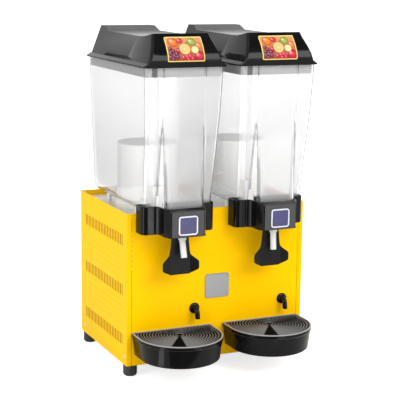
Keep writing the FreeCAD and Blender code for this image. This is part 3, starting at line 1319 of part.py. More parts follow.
for number in range(int(size("fan_blades"))):
    turned_blade = blade.rotated(Vector(), Y_STEP, 360 * number / size("fan_blades"))
    blades.append(shaped("Blade_%d" % number, turned_blade,
                         ("condenser_x", back(fan_face + " + fan_depth / 2"), up("fan_z"))))
fan_form = fuse("Fan_form", hub, *blades)
fan_trim = cylinder("Fan_trim", "fan_radius", "4 * fan_depth",
                    ("condenser_x", back(fan_face + " - fan_depth"), up("fan_z")), "y")
fan_bore = cylinder("Fan_bore", "magnet_shaft + bearing_gap", "4 * fan_depth",
                    ("condenser_x", back(fan_face + " - fan_depth"), up("fan_z")), "y")
keep("fan_blade", cut("Fan_blade", common("Fan_round", fan_form, fan_trim), fan_bore))
motor_front = "condenser_y - fan_space - fan_depth - fan_motor_gap - fan_motor_length"
motor = cylinder("Fan_motor_can", "fan_motor_radius", "fan_motor_length",
                 ("condenser_x", back(motor_front), up("fan_z")), "y")
spindle = cylinder("Fan_spindle", "magnet_shaft", "fan_motor_gap + fan_depth + fan_motor_length / 2",
                   ("condenser_x", back(motor_front + " + fan_motor_length / 2"), up("fan_z")), "y")
stand = slab("Fan_stand", ("2 * stand_half", "fan_motor_length / 2", "fan_z - sheet"),
             ("condenser_x", back(motor_front + " + fan_motor_length / 4"), up("sheet")))
keep("fan_motor", fuse("Fan_motor", motor, spindle, stand))

# Refrigerant pipes between the compressor, the condenser and the drums
floor_z = size("foot_height")
front_y = (size("tray_reach") - size("body_depth")) / 2
can_foot = floor_z + size("sheet") + size("grommet_height") + size("mount_thick") / 2
can_top = can_foot + size("compressor_height")
fins_top = floor_z + size("sheet") + size("condenser_height")
level = floor_z + size("pipe_level")
drum_end = floor_z + size("body_height") - size("deck_recess") + size("pipe_rise")
can_at = (size("compressor_x"), front_y + size("compressor_y"))
fins_y = front_y + size("condenser_y") + size("condenser_length") / 2
fins_x = size("condenser_x") - size("condenser_width") / 2
drum_y = front_y + size("evaporator_y")
step = size("pipe_inset")
routes = [
    [Vector(can_at[0], can_at[1], can_top), Vector(can_at[0], can_at[1], level - 2 * step),
     Vector(fins_x + step, fins_y, level - 2 * step), Vector(fins_x + step, fins_y, fins_top)],
    [Vector(fins_x + 2 * step, fins_y, fins_top), Vector(fins_x + 2 * step, fins_y, level),
     Vector(-size("bowl_pitch") / 2, drum_y, level), Vector(-size("bowl_pitch") / 2, drum_y, drum_end)],
    [Vector(fins_x + 4 * step, fins_y, fins_top), Vector(fins_x + 4 * step, fins_y, level),
     Vector(size("bowl_pitch") / 2, drum_y, level), Vector(size("bowl_pitch") / 2, drum_y, drum_end)],
]
pipe_shape = Part.makeCompound([tube(route, size("pipe_bend"), size("pipe_radius")) for route in routes])
keep("refrigerant_pipes", shaped("Refrigerant_pipes", pipe_shape))

# Rear fittings: switch housing, thermostat cup and cable gland
switch_depth = "rocker_axis + rocker_round + 2 * switch_wall"
switch_form = slab("Switch_form", ("rocker_width", switch_depth, "rocker_height"),
                   ("control_x", BACK + " - rocker_axis - rocker_round - 2 * switch_wall",
                    up("rocker_z - rocker_height / 2")))
switch_room = cylinder("Switch_room", "rocker_round + run_gap", "rocker_width - 2 * rocker_border",
                       ("control_x - rocker_width / 2 + rocker_border", BACK + " - rocker_axis",
                        up("rocker_z")), "x")
switch_housing = cut("Switch_housing", switch_form, switch_room)
cup = turned("Thermostat_cup", [
    ("shaft_radius + bearing_gap", "-dish_depth - shaft_length"),
    ("knob_dish - dish_wall", "-dish_depth - shaft_length"),
    ("knob_dish - dish_wall", "-dish_depth - dish_wall"),
    ("knob_dish - fit_gap", "-dish_depth - dish_wall"),
    ("knob_dish - fit_gap", "0"),
    ("knob_dish - dish_wall", "0"),
    ("knob_dish - dish_wall", "-dish_depth"),
    ("shaft_radius + bearing_gap", "-dish_depth"),
], ("control_x", BACK, up("knob_z")), "y")
gland = turned("Cable_gland", [
    ("gland_bore", "-gland_length"),
    ("gland_radius", "-gland_length"),
    ("gland_radius", "0"),
    ("gland_bore", "0"),
], ("control_x", BACK, up("gland_z")), "y")
keep("rear_fittings", group("Rear_fittings", [switch_housing, cup, gland]))
rocker_form = cylinder("Rocker_form", "rocker_round", "rocker_width - 2 * rocker_border - 2 * run_gap",
                       ("control_x - rocker_width / 2 + rocker_border + run_gap", BACK + " - rocker_axis",
                        up("rocker_z")), "x")
rocker_trim = slab("Rocker_trim", ("2 * rocker_width", "2 * rocker_round", "4 * rocker_round"),
                   ("control_x", BACK + " - rocker_axis + rocker_face", up("rocker_z - 2 * rocker_round")))
keep("power_rocker", cut("Power_rocker", rocker_form, rocker_trim))
knob_form = turned("Knob_form", [
    ("0", "-dish_depth - shaft_length / 2"),
    ("shaft_radius", "-dish_depth - shaft_length / 2"),
    ("shaft_radius", "run_gap - dish_depth"),
    ("knob_radius", "run_gap - dish_depth"),
    ("knob_radius - run_gap", "knob_depth / 2 - dish_depth"),
    ("0", "knob_depth / 2 - dish_depth"),
], ("control_x", BACK, up("knob_z")), "y")
knob_rib = slab("Knob_rib", ("knob_rib", "knob_depth", "2 * knob_radius - 2 * knob_rib"),
                ("control_x", BACK + " + run_gap - dish_depth", up("knob_z - knob_radius + knob_rib")))
keep("thermostat_knob", fuse("Thermostat_knob", knob_form, knob_rib))


def check_and_write():
    """Stop if anything failed, then write each sub-part to its own file."""
    doc.recompute()
    for item in doc.Objects:
        if "Invalid" in item.State or "Error" in item.State:
            raise RuntimeError("%s failed" % item.Label)
    for node, made in subparts.items():
        shape = made.Shape
        if shape.isNull() or not shape.isValid() or not shape.Solids:
            raise RuntimeError("%s has no sound solid" % node)
    os.makedirs("parts", exist_ok=True)
    for node, made in subparts.items():
        made.Shape.exportStep("parts/%s.step" % node)
    print(len(subparts), "sub-parts written")


check_and_write()
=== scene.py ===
import math

import bmesh
import bpy
import numpy as np
from mathutils import Matrix, Vector


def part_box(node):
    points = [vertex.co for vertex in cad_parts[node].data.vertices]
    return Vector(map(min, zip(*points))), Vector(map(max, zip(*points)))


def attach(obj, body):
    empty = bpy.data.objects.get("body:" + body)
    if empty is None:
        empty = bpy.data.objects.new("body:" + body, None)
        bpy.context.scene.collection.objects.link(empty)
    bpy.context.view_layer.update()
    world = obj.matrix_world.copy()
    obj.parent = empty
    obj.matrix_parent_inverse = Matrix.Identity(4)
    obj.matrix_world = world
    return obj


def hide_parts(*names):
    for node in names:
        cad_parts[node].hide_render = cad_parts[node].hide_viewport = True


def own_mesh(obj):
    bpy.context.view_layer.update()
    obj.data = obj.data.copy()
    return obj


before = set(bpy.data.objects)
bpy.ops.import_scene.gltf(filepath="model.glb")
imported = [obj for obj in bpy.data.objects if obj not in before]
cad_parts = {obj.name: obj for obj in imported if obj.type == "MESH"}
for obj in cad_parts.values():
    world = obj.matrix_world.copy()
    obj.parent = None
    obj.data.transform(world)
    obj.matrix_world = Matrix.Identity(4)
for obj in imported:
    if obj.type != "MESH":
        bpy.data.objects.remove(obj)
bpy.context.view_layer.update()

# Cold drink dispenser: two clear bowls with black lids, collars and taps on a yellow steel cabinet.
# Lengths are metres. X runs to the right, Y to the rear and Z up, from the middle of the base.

bl_info = {
    "name": "Cold drink dispenser",
    "version": (1, 0, 0),
    "blender": (4, 5, 0),
    "location": "View3D > Sidebar > Dispenser",
    "description": "Surfaces and finishes of a cold drink dispenser with two bowls",
    "category": "Add Mesh",
}

SIDES = ("left", "right")
WHITE = (1.0, 1.0, 1.0, 1.0)


def middle(node):
    """The middle of a node's box, as an array."""
    low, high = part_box(node)
    return (np.array(low) + np.array(high)) / 2


def low_corner(node):
    """The lowest corner of a node, as an array."""
    return np.array(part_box(node)[0])


def high_corner(node):
    """The highest corner of a node, as an array."""
    return np.array(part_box(node)[1])


# The cabinet's middle and half size: those of its deck, with the sheet outside it.
SHEET = 0.0016
CABINET_MIDDLE = middle("deck")
CABINET_HALF = high_corner("deck") - CABINET_MIDDLE + SHEET


# Surfaces worked out on grids

def ring_faces(levels, around, closed):
    """Quads between closed rings of points stored ring after ring: each joins two neighbours of a ring to
    those of the next, and the last ring to the first where the skin is closed."""
    low, here = np.meshgrid(np.arange(levels if closed else levels - 1), np.arange(around), indexing="ij")
    high, beside = (low + 1) % levels, (here + 1) % around
    corners = ((low, here), (low, beside), (high, beside), (high, here))
    return np.stack([ring * around + place for ring, place in corners], -1).reshape(-1, 4)


def rounded_path(corners, reaches, steps):
    """Corners turned into arcs, for one outline or a stack of them.

    Each arc leaves its corner's two edges at the given reach and is the rational quadratic curve whose middle
    weight is the cosine of half the turn, which is a true arc."""
    corners = np.asarray(corners, float)
    reach = np.broadcast_to(np.asarray(reaches, float), corners.shape[:-1])[..., None]
    come = corners - np.roll(corners, 1, -2)
    go = np.roll(corners, -1, -2) - corners
    come = come / np.linalg.norm(come, axis=-1, keepdims=True)
    go = go / np.linalg.norm(go, axis=-1, keepdims=True)
    weight = np.sqrt(np.clip((1 + (come * go).sum(-1, keepdims=True)) / 2, 0, 1))[..., None, :]
    share = np.linspace(0, 1, steps)[:, None]
    first = (corners - come * reach)[..., None, :]
    last = (corners + go * reach)[..., None, :]
    point = corners[..., None, :]
    top = (1 - share) ** 2 * first + 2 * weight * share * (1 - share) * point + share ** 2 * last
    made = top / ((1 - share) ** 2 + 2 * weight * share * (1 - share) + share ** 2)
    return made.reshape(corners.shape[:-2] + (-1, 2))


def both_ways(values):
    """A list followed by itself backwards."""
    return values + values[::-1]


def mirrored(right):
    """An outline whose left half mirrors the given right half."""
    return right + [(-x, y) for x, y in right[::-1]]


def with_height(outlines, heights):
    """Flat outlines lifted to their heights, as rings of points."""
    heights = np.broadcast_to(np.asarray(heights, float)[:, None, None], outlines.shape[:-1] + (1,))
    return np.concatenate([outlines, heights], -1)


def placed(name, data):
    """A new object of the scene that holds the data."""
    made = bpy.data.objects.new(name, data)
    bpy.context.scene.collection.objects.link(made)
    return made


def gathered(items, name):
    """A property of three numbers of every vertex or face, a row to each."""
    held = np.empty(len(items) * 3)
    items.foreach_get(name, held)
    return held.reshape(-1, 3)


class Shell:
    """Points and faces gathered for one piece."""

    def __init__(self):
        self.points = []
        self.faces = []
        self.count = 0

    def add(self, points, faces):
        """Add points with faces that count from their first point."""
        points = np.asarray(points, float).reshape(-1, 3)
        self.faces += [tuple(int(i) + self.count for i in face) for face in faces]
        self.points.append(points)
        self.count += len(points)
        return self

    def rings(self, rings, closed=False, bottom=False, top=False):
        """A skin through closed rings, with flat ends where they are asked for."""
        rings = np.asarray(rings, float)
        levels, around = rings.shape[:2]
        faces = ring_faces(levels, around, closed).tolist()
        if bottom:
            faces.append(list(range(around))[::-1])
        if top:
            faces.append(list(range((levels - 1) * around, levels * around)))
        return self.add(rings, faces)

    def block(self, low, high):
        """A plain bar between two corners."""
        x, y, z = zip(low, high)
        outline = np.array([(x[0], y[0]), (x[1], y[0]), (x[1], y[1]), (x[0], y[1])])
        return self.rings(with_height(np.stack([outline, outline]), z), bottom=True, top=True)

    def turned(self, profile, centre, steps=48, axis=(0, 0, 1), closed=True):
        """A profile of radius and height carried once round an axis: each point is the centre plus its radius
        in the turning direction plus its height along the axis."""
        profile = np.asarray(profile, float)
        along = np.asarray(Vector(axis).normalized())
        side = np.asarray(Vector(axis).orthogonal().normalized())
        other = np.cross(along, side)
        turn = np.linspace(0, 2 * math.pi, steps, endpoint=False)
        spoke = np.cos(turn)[:, None] * side + np.sin(turn)[:, None] * other
        rings = (np.asarray(centre, float) + profile[:, None, 1:] * along
                 + profile[:, None, :1] * spoke[None])
        return self.rings(rings, closed=closed, bottom=not closed, top=not closed)

    def make(self, name, merge=1e-6):
        """The piece as one object at the origin, with its normals outwards."""
        mesh = bpy.data.meshes.new(name)
        mesh.from_pydata(np.concatenate(self.points).tolist(), [], self.faces)
        work = bmesh.new()
        work.from_mesh(mesh)
        bmesh.ops.remove_doubles(work, verts=work.verts, dist=merge)
        bmesh.ops.dissolve_degenerate(work, edges=work.edges, dist=merge)
        bmesh.ops.recalc_face_normals(work, faces=work.faces)
        work.to_mesh(mesh)
        work.free()
        return placed(name, mesh)


def finish_piece(piece, material, body, replaced=(), smooth=35.0, round_edges=0.0):
    """Give a piece its finish, sharp or rounded edges and its body, and hide the nodes that it stands for."""
    piece.data.materials.append(material)
    if round_edges:
        bevel = piece.modifiers.new("Rounded edges", "BEVEL")
        bevel.width = round_edges
        bevel.segments = 3
        bevel.limit_method = "ANGLE"
        bevel.angle_limit = math.radians(smooth)
        bevel.harden_normals = True
    piece.data.shade_smooth()
    work = bmesh.new()
    work.from_mesh(piece.data)
    limit = math.radians(smooth)
    for edge in work.edges:
        sharp = edge.is_manifold and edge.calc_face_angle(0.0) > limit
        edge.smooth = bool(round_edges) or not sharp
    work.to_mesh(piece.data)
    work.free()
    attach(piece, body)
    if replaced:
        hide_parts(*replaced)
    return piece


def bored(piece, cutters):
    """Cut holes through a piece with cutters that are then removed."""
    for cutter in cutters:
        hole = piece.modifiers.new("Hole", "BOOLEAN")
        hole.object = cutter
        hole.solver = "EXACT"
    bpy.context.view_layer.update()
    graph = bpy.context.evaluated_depsgraph_get()
    mesh = bpy.data.meshes.new_from_object(piece.evaluated_get(graph))
    piece.modifiers.clear()
    piece.data = mesh
    for cutter in cutters:
        bpy.data.objects.remove(cutter)
    return piece


# Finishes

def shade(colour, share):
    """A colour times a share."""
    return tuple(share * part for part in colour)


class Finish:
    """A node material built up around one Principled shader."""

    def __init__(self, name, colour, roughness, metallic=0.0, **plain):
        self.material = bpy.data.materials.new(name)
        self.material.use_nodes = True
        self.nodes = self.material.node_tree.nodes
        self.links = self.material.node_tree.links
        self.shader = self.nodes["Principled BSDF"]
        plain.update(Base_Color=(*colour, 1.0), Roughness=roughness, Metallic=metallic)
        for socket, value in plain.items():
            self.shader.inputs[socket.replace("_", " ")].default_value = value
        self.place = self.nodes.new("ShaderNodeTexCoord").outputs["Object"]
        self.material.diffuse_color = (*colour, 1.0)

    def node(self, kind, **values):
        """A new node whose named inputs are set."""
        made = self.nodes.new(kind)
        for socket, value in values.items():
            made.inputs[socket.replace("_", " ")].default_value = value
        return made

    def stretched(self, scale=(1, 1, 1), place=(0, 0, 0), turn=(0, 0, 0)):
        """Object coordinates, moved, turned and scaled."""
        mapping = self.node("ShaderNodeMapping", Scale=scale, Location=place, Rotation=turn)
        self.links.new(self.place, mapping.inputs["Vector"])
        return mapping.outputs["Vector"]

    def split(self, vector):
        """The three parts of a vector."""
        made = self.nodes.new("ShaderNodeSeparateXYZ")
        self.links.new(vector, made.inputs[0])
        return made.outputs

    def noise(self, scale, detail=3.0, roughness=0.5, where=None):
        """Soft noise from 0 to 1."""
        made = self.node("ShaderNodeTexNoise", Scale=scale, Detail=detail, Roughness=roughness)
        self.links.new(where or self.place, made.inputs["Vector"])
        return made.outputs["Fac"]

    def range(self, value, low, high, start=0.0, end=1.0):
        """A value carried from one range to another."""
        made = self.node("ShaderNodeMapRange")
        for socket, bound in zip(("From Min", "From Max", "To Min", "To Max"), (start, end, low, high)):
            made.inputs[socket].default_value = bound
        self.links.new(value, made.inputs["Value"])
        return made.outputs["Result"]

    def ramp(self, value, start, end):
        """0 up to the start, 1 from the end on."""
        return self.range(value, 0.0, 1.0, start, end)

    def fade(self, value, start, end):
        """1 up to the start, 0 from the end on."""
        return self.range(value, 1.0, 0.0, start, end)

    def mix(self, share, first, second):
        """Two colours mixed by a share; each is a colour or a socket."""
        made = self.nodes.new("ShaderNodeMix")
        made.data_type = "RGBA"
        if isinstance(share, (int, float)):
            made.inputs["Factor"].default_value = share
        else:
            self.links.new(share, made.inputs["Factor"])
        for socket, colour in ((made.inputs[6], first), (made.inputs[7], second)):
            if isinstance(colour, bpy.types.NodeSocket):
                self.links.new(colour, socket)
            else:
                socket.default_value = (*colour, 1.0)
        return made.outputs[2]

    def figure(self, operation, *values):
        """What one step of arithmetic makes of one or two values."""
        made = self.nodes.new("ShaderNodeMath")
        made.operation = operation
        for socket, value in zip(made.inputs, values):
            if isinstance(value, (int, float)):
                socket.default_value = value
            else:
                self.links.new(value, socket)
        return made.outputs[0]

    def into(self, socket, value):
        """Feed one input of the shader."""
        self.links.new(value, self.shader.inputs[socket])

    def tint(self, share, first, second):
        """The shader's colour: two colours mixed by a share."""
        self.into("Base Color", self.mix(share, first, second))

    def shine(self, value, low, high, start=0.0, end=1.0):
        """The shader's roughness: a value carried to a range."""
        self.into("Roughness", self.range(value, low, high, start, end))

    def flow(self, low, high):
        """The faint upright flow of clear moulded plastic, in its shine and in its surface."""
        flow = self.noise(1.0, detail=1.0, where=self.stretched(scale=(9, 9, 3)))
        self.shine(flow, low, high, 0.45, 0.75)
        self.bump(flow, 0.0004, strength=0.12)

    def bump(self, height, depth, edge=0.0, strength=1.0):
        """A bump of the given depth, over edges softened by the given radius."""
        made = self.node("ShaderNodeBump", Strength=strength, Distance=depth)
        self.links.new(height, made.inputs["Height"])
        if edge:
            soft = self.node("ShaderNodeBevel", Radius=edge)
            soft.samples = 4
            self.links.new(soft.outputs["Normal"], made.inputs["Normal"])
        self.into("Normal", made.outputs["Normal"])


FINISHES = {}
# Near black for the cabinet's inner faces: painted shade for the dark inside seen through the slots.
PAINTED_INSIDE_SHADE = (0.03, 0.03, 0.032)


def finish(name):
    """A finish by its name, made the first time it is asked for."""
    if name not in FINISHES:
        FINISHES[name] = FINISH_MAKERS[name](bpy.context.scene.dispenser_colours)
    return FINISHES[name]


def yellow_paint(colours):
    """Stove enamel on steel: an even colour with slow drift and faint orange peel. What lies behind the
    cabinet's outer faces is painted near black: painted shade, so that the inside looks dark through the
    slots."""
    made = Finish("yellow_paint", colours.cabinet, 0.34, Specular_IOR_Level=0.03)
    drift = made.noise(3.2, detail=2.0)
    coat = made.mix(made.ramp(drift, 0.3, 0.7), colours.cabinet, colours.cabinet_deep)
    place = made.split(made.stretched(place=(0, -CABINET_MIDDLE[1], 0)))
    beside = made.figure("SUBTRACT", made.figure("ABSOLUTE", place["X"]), CABINET_HALF[0])
    behind = made.figure("SUBTRACT", made.figure("ABSOLUTE", place["Y"]), CABINET_HALF[1])
    above = made.figure("SUBTRACT", place["Z"], low_corner("deck")[2])
    outside = made.figure("MAXIMUM", made.figure("MAXIMUM", beside, behind), above)
    # Painted shade: behind the outer faces the paint turns near black.
    made.tint(made.ramp(outside, -0.0007, -0.0003), PAINTED_INSIDE_SHADE, coat)
    made.shine(made.noise(38.0), 0.27, 0.37, 0.3, 0.7)
    made.bump(made.noise(520.0, detail=1.0), 0.00006, edge=0.0012, strength=0.5)
    return made.material


def brushed_steel(colours):
    """Stainless sheet rubbed along X: long fine scratches vary its shine and its level."""
    made = Finish("brushed_steel", colours.steel, 0.3, metallic=1.0)
    grain = made.noise(1.0, detail=5.0, roughness=0.7, where=made.stretched(scale=(9, 900, 900)))
    made.shine(grain, 0.2, 0.42, 0.3, 0.7)
    made.tint(grain, colours.steel, shade(colours.steel, 0.86))
    made.bump(grain, 0.00004, edge=0.0006, strength=0.6)
    return made.material


def polished_drum(colours):
    """Drawn stainless drum: polished round its axis, with faint rings and clouding."""
    made = Finish("polished_drum", colours.drum, 0.3, metallic=0.15)
    rings = made.noise(1.0, detail=4.0, roughness=0.7, where=made.stretched(scale=(14, 14, 1300)))
    made.shine(rings, 0.24, 0.4, 0.3, 0.7)
    made.tint(made.noise(22.0), colours.drum, shade(colours.drum, 0.95))
    made.bump(rings, 0.00002, edge=0.0008, strength=0.5)
    return made.material


def zinc_sheet(colours):
    """Galvanised sheet: a patchwork of dull crystal flakes."""
    made = Finish("zinc_sheet", (0.42, 0.43, 0.45), 0.45, metallic=0.9)
    flakes = made.node("ShaderNodeTexVoronoi", Scale=95.0)
    made.links.new(made.place, flakes.inputs["Vector"])
    made.shine(flakes.outputs["Distance"], 0.35, 0.6)
    tone = made.range(flakes.outputs["Distance"], 0.0, 1.0)
    made.tint(tone, (0.36, 0.37, 0.39), (0.52, 0.53, 0.55))
    made.bump(made.noise(240.0), 0.00005, edge=0.0005, strength=0.4)
    return made.material


def satin_plate(colours):
    """Satin plate: fine upright brushing over a pale metal."""
    made = Finish("satin_plate", colours.plaque, 0.36, metallic=0.85)
    grain = made.noise(1.0, detail=4.0, where=made.stretched(scale=(1500, 1500, 30)))
    made.shine(grain, 0.3, 0.46, 0.3, 0.7)
    made.tint(grain, colours.plaque, shade(colours.plaque, 0.9))
    made.bump(grain, 0.00003, edge=0.0005, strength=0.5)
    return made.material


def black_gloss(colours):
    """Glossy moulded plastic: deep black with a faint flow in its shine."""
    made = Finish("black_gloss", colours.gloss, 0.11, Specular_IOR_Level=0.18)
    flow = made.noise(1.0, where=made.stretched(scale=(24, 24, 60)))
    made.shine(flow, 0.07, 0.16, 0.3, 0.7)
    made.tint(flow, colours.gloss, shade(colours.gloss, 1.6))
    made.bump(made.noise(30.0, detail=1.0), 0.00008, edge=0.0009, strength=0.35)
    return made.material


def black_grained(colours):
    """Matt moulded plastic: fine spark grain and rubbed edges of shine."""
    made = Finish("black_grained", colours.matt, 0.5)
    grain = made.noise(1400.0, detail=2.0)
    made.shine(made.noise(60.0), 0.36, 0.56, 0.3, 0.7)
    made.tint(made.noise(24.0), colours.matt, shade(colours.matt, 1.5))
    made.bump(grain, 0.00005, edge=0.0006, strength=0.5)
    return made.material


def clear_plastic(colours):
    """Clear polycarbonate: faint grey through its thickness, darkened towards the bowl's foot by painted
    shade, with a trace of flow on its surface.
    """
    made = Finish("clear_plastic", colours.clear, 0.0, Transmission_Weight=0.96, IOR=1.49)
    # Painted shade: the colour darkens towards the bowl's foot.
    level = made.ramp(made.split(made.place)["Z"], 0.42, 0.6)
    made.tint(level, shade(colours.clear, 0.85), colours.clear)
    made.flow(0.0, 0.03)
    return made.material


def clear_front(colours):
    """The bowl's front: the same plastic made milkier, its colour darkened towards the foot by painted shade
    that stands for the collars' dark reflection.
    """
    made = Finish("clear_front", colours.clear, 0.2, Transmission_Weight=0.82, IOR=1.49)
    # Painted shade: the colour darkens towards the foot of the front.
    level = made.ramp(made.split(made.place)["Z"], 0.37, 0.66)
    made.tint(level, colours.shaded, colours.clear)
    made.flow(0.16, 0.24)
    return made.material


def clear_edge_highlight(colours):
    """The bowl's upright corners and flutes: the same plastic in a paler colour, a painted highlight that
    makes them look brighter.
    """
    made = Finish("clear_edge_highlight", (0.995, 0.995, 0.995), 0.0, Transmission_Weight=0.98, IOR=1.49)
    made.flow(0.0, 0.02)
    return made.material


def clear_fold_shade(colours):
    """The folds along the flutes: the same plastic in a greyer colour, painted shade for how dark they look
    as they bend the view away.
    """
    made = Finish("clear_fold_shade", colours.fold_shade, 0.03, Transmission_Weight=0.95, IOR=1.49)
    made.shine(made.noise(30.0), 0.0, 0.06, 0.4, 0.8)
    made.bump(made.noise(60.0), 0.0002, strength=0.15)
    return made.material


def clear_tube(colours):
    """Clear riser tube, with a little haze."""
    made = Finish("clear_tube", colours.clear, 0.02, Transmission_Weight=0.97, IOR=1.4)
    made.shine(made.noise(40.0), 0.0, 0.06, 0.4, 0.8)
    made.bump(made.noise(80.0), 0.0001, strength=0.2)
    return made.material


def grille_black(colours):
    """Moulded grille: rings round the hub with a painted highlight, painted wider where they are seen across
    to stand for the gaps they hide, and a painted dark reflection in a wedge in front, towards the camera.

    The distance from the hub gives the rings by its remainder over their pitch. The fan is the cosine of the
    bearing from the camera's direction, and its square widens the painted rings."""
    made = Finish("grille_black", colours.grille, 0.42, Specular_IOR_Level=0.02)
    first_ring, pitch, soft = 0.0147, 0.0062, 0.0003
    thin, widening = 0.0011, 0.0006
    # The direction towards the camera, along which a painted dark reflection is laid.
    camera_across, camera_ahead, dark_reflection_edge = -0.415, -0.91, (0.978, 0.984)
    tray_low, tray_high = low_corner("drip_tray_right"), high_corner("drip_tray_right")
    tray_half = (tray_high[0] - tray_low[0]) / 2
    place = made.split(made.place)
    hub_way = made.figure("SUBTRACT", made.figure("ABSOLUTE", place["X"]), tray_low[0] + tray_half)
    across = made.figure("MULTIPLY", hub_way, made.figure("SIGN", place["X"]))
    ahead = made.figure("SUBTRACT", place["Y"], tray_low[1] + tray_half)
    squares = [made.figure("MULTIPLY", part, part) for part in (across, ahead)]
    reach = made.figure("SQRT", made.figure("ADD", *squares))
    turns = made.figure("DIVIDE", made.figure("SUBTRACT", reach, first_ring - pitch / 2), pitch)
    off_ring = made.figure("ABSOLUTE", made.figure("SUBTRACT", made.figure("FRACT", turns), 0.5))
    from_ring = made.figure("MULTIPLY", off_ring, pitch)
    along = made.figure("ADD", made.figure("MULTIPLY", across, camera_across),
                        made.figure("MULTIPLY", ahead, camera_ahead))
    fan = made.figure("DIVIDE", along, made.figure("MAXIMUM", reach, 0.001))
    rib_highlight = made.figure("ADD", made.figure("MULTIPLY", made.figure("MULTIPLY", fan, fan), widening), thin)
    # Painted highlight on the ribs, cut away near the camera's direction for a painted dark reflection.
    painted_highlight = made.fade(made.figure("SUBTRACT", from_ring, rib_highlight), -soft, soft)
    painted_highlight = made.figure("MULTIPLY", painted_highlight, made.fade(fan, *dark_reflection_edge))
    pale = made.mix(made.noise(30.0), shade(colours.rib_highlight, 0.8), colours.rib_highlight)
    made.shine(made.noise(60.0), 0.34, 0.5, 0.3, 0.7)
    made.tint(painted_highlight, colours.grille, pale)
    made.bump(made.noise(900.0), 0.00003, edge=0.0004, strength=0.4)
    return made.material


def white_plastic(colours):
    """Food-grade white plastic with soft depth."""
    made = Finish("white_plastic", (0.82, 0.82, 0.8), 0.32, Subsurface_Weight=0.25, Subsurface_Scale=0.004)
    made.tint(made.noise(30.0), (0.8, 0.8, 0.78), (0.88, 0.88, 0.86))
    made.shine(made.noise(90.0), 0.26, 0.4)
    made.bump(made.noise(700.0), 0.00003, edge=0.0006, strength=0.4)
    return made.material


def silicone(colours):
    """Milky silicone rubber: soft, slightly cloudy and dull."""
    made = Finish("silicone", (0.7, 0.7, 0.68), 0.5, Subsurface_Weight=0.4, Subsurface_Scale=0.006)
    made.tint(made.noise(45.0), (0.62, 0.62, 0.6), (0.76, 0.76, 0.74))
    made.shine(made.noise(160.0), 0.42, 0.6)
    made.bump(made.noise(380.0), 0.00004, edge=0.0005, strength=0.4)
    return made.material


def bright_steel(colours):
    """Bright turned steel with fine rings."""
    made = Finish("bright_steel", (0.68, 0.68, 0.68), 0.2, metallic=1.0)
    made.tint(made.noise(120.0), (0.6, 0.6, 0.6), (0.74, 0.74, 0.73))
    rings = made.noise(1.0, where=made.stretched(scale=(300, 300, 2500)))
    made.shine(rings, 0.14, 0.3)
    made.bump(rings, 0.00002, edge=0.0003, strength=0.4)
    return made.material


def grey_skirt(colours):
    """Moulded plastic seen pale through the bowl: a smooth mid grey."""
    made = Finish("grey_skirt", colours.skirt, 0.3)
    made.tint(made.noise(8.0), colours.skirt, shade(colours.skirt, 0.88))
    made.shine(made.noise(50.0), 0.24, 0.36)
    return made.material


def black_satin(colours):
    """Satin moulded plastic of the levers: black with a wide, slightly uneven sheen."""
    made = Finish("black_satin", colours.lever, 0.34, Specular_IOR_Level=0.12)
    made.shine(made.noise(26.0), 0.24, 0.4, 0.3, 0.7)
    made.tint(made.noise(18.0), colours.lever, shade(colours.lever, 1.5))
    made.bump(made.noise(900.0), 0.00003, edge=0.0007, strength=0.4)
    return made.material


def black_face_sheen(colours):
    """Spark-grained face of a collar's nose: a satin charcoal, whose paler colour than the gloss black is a
    painted sheen.
    """
    made = Finish("black_face_sheen", colours.face, 0.42, Specular_IOR_Level=0.3)
    made.shine(made.noise(60.0), 0.36, 0.5, 0.3, 0.7)
    made.tint(made.noise(14.0), colours.face, shade(colours.face, 1.35))
    made.bump(made.noise(1200.0), 0.00003, strength=0.4)
    return made.material


def black_tray(colours):
    """Glossy tray plastic, with a painted highlight along the top of its rim."""
    made = Finish("black_tray", colours.tray, 0.12, Specular_IOR_Level=0.14)
    top = high_corner("drip_tray_left")[2]
    # Painted highlight along the top of the rim.
    painted_highlight = made.ramp(made.split(made.place)["Z"], top - 0.0022, top - 0.0012)
    made.tint(painted_highlight, colours.tray, colours.rim)
    made.shine(made.noise(40.0), 0.08, 0.18, 0.3, 0.7)
    made.bump(made.noise(30.0, detail=1.0), 0.00008, strength=0.3)
    return made.material


def badge_border(colours):
    """Pale printed metal round the badge's field."""
    made = Finish("badge_border", colours.border, 0.3, metallic=0.4)
    made.shine(made.noise(200.0), 0.22, 0.4)
    made.tint(made.noise(60.0), colours.border, shade(colours.border, 0.93))
    made.bump(made.noise(800.0), 0.00002, edge=0.0003, strength=0.4)
    return made.material


def badge_blue(colours):
    """Blue lacquer that darkens a little towards its foot."""
    made = Finish("badge_blue", colours.badge, 0.24, Coat_Weight=0.6, Coat_Roughness=0.06)
    level = made.ramp(made.split(made.place)["Z"], 0.322, 0.362)
    made.tint(level, shade(colours.badge, 0.7), colours.badge)
    made.shine(made.noise(180.0), 0.2, 0.32)
    return made.material


def black_rubber(colours):
    """Moulded rubber: dull, with scuffs and dust in its pores."""
    made = Finish("black_rubber", (0.022, 0.022, 0.023), 0.62)
    made.tint(made.ramp(made.noise(70.0), 0.4, 0.75), (0.018, 0.018, 0.019), (0.05, 0.05, 0.05))
    made.shine(made.noise(240.0), 0.5, 0.75)
    made.bump(made.noise(900.0), 0.0001, edge=0.0006, strength=0.5)
    return made.material


def black_enamel(colours):
    """Baked black enamel of a compressor can, with sags in its gloss."""
    made = Finish("black_enamel", (0.012, 0.012, 0.013), 0.24)
    made.shine(made.noise(18.0), 0.16, 0.36)
    made.tint(made.noise(12.0), (0.01, 0.01, 0.011), (0.02, 0.02, 0.021))
    made.bump(made.noise(60.0), 0.0003, edge=0.001, strength=0.4)
    return made.material


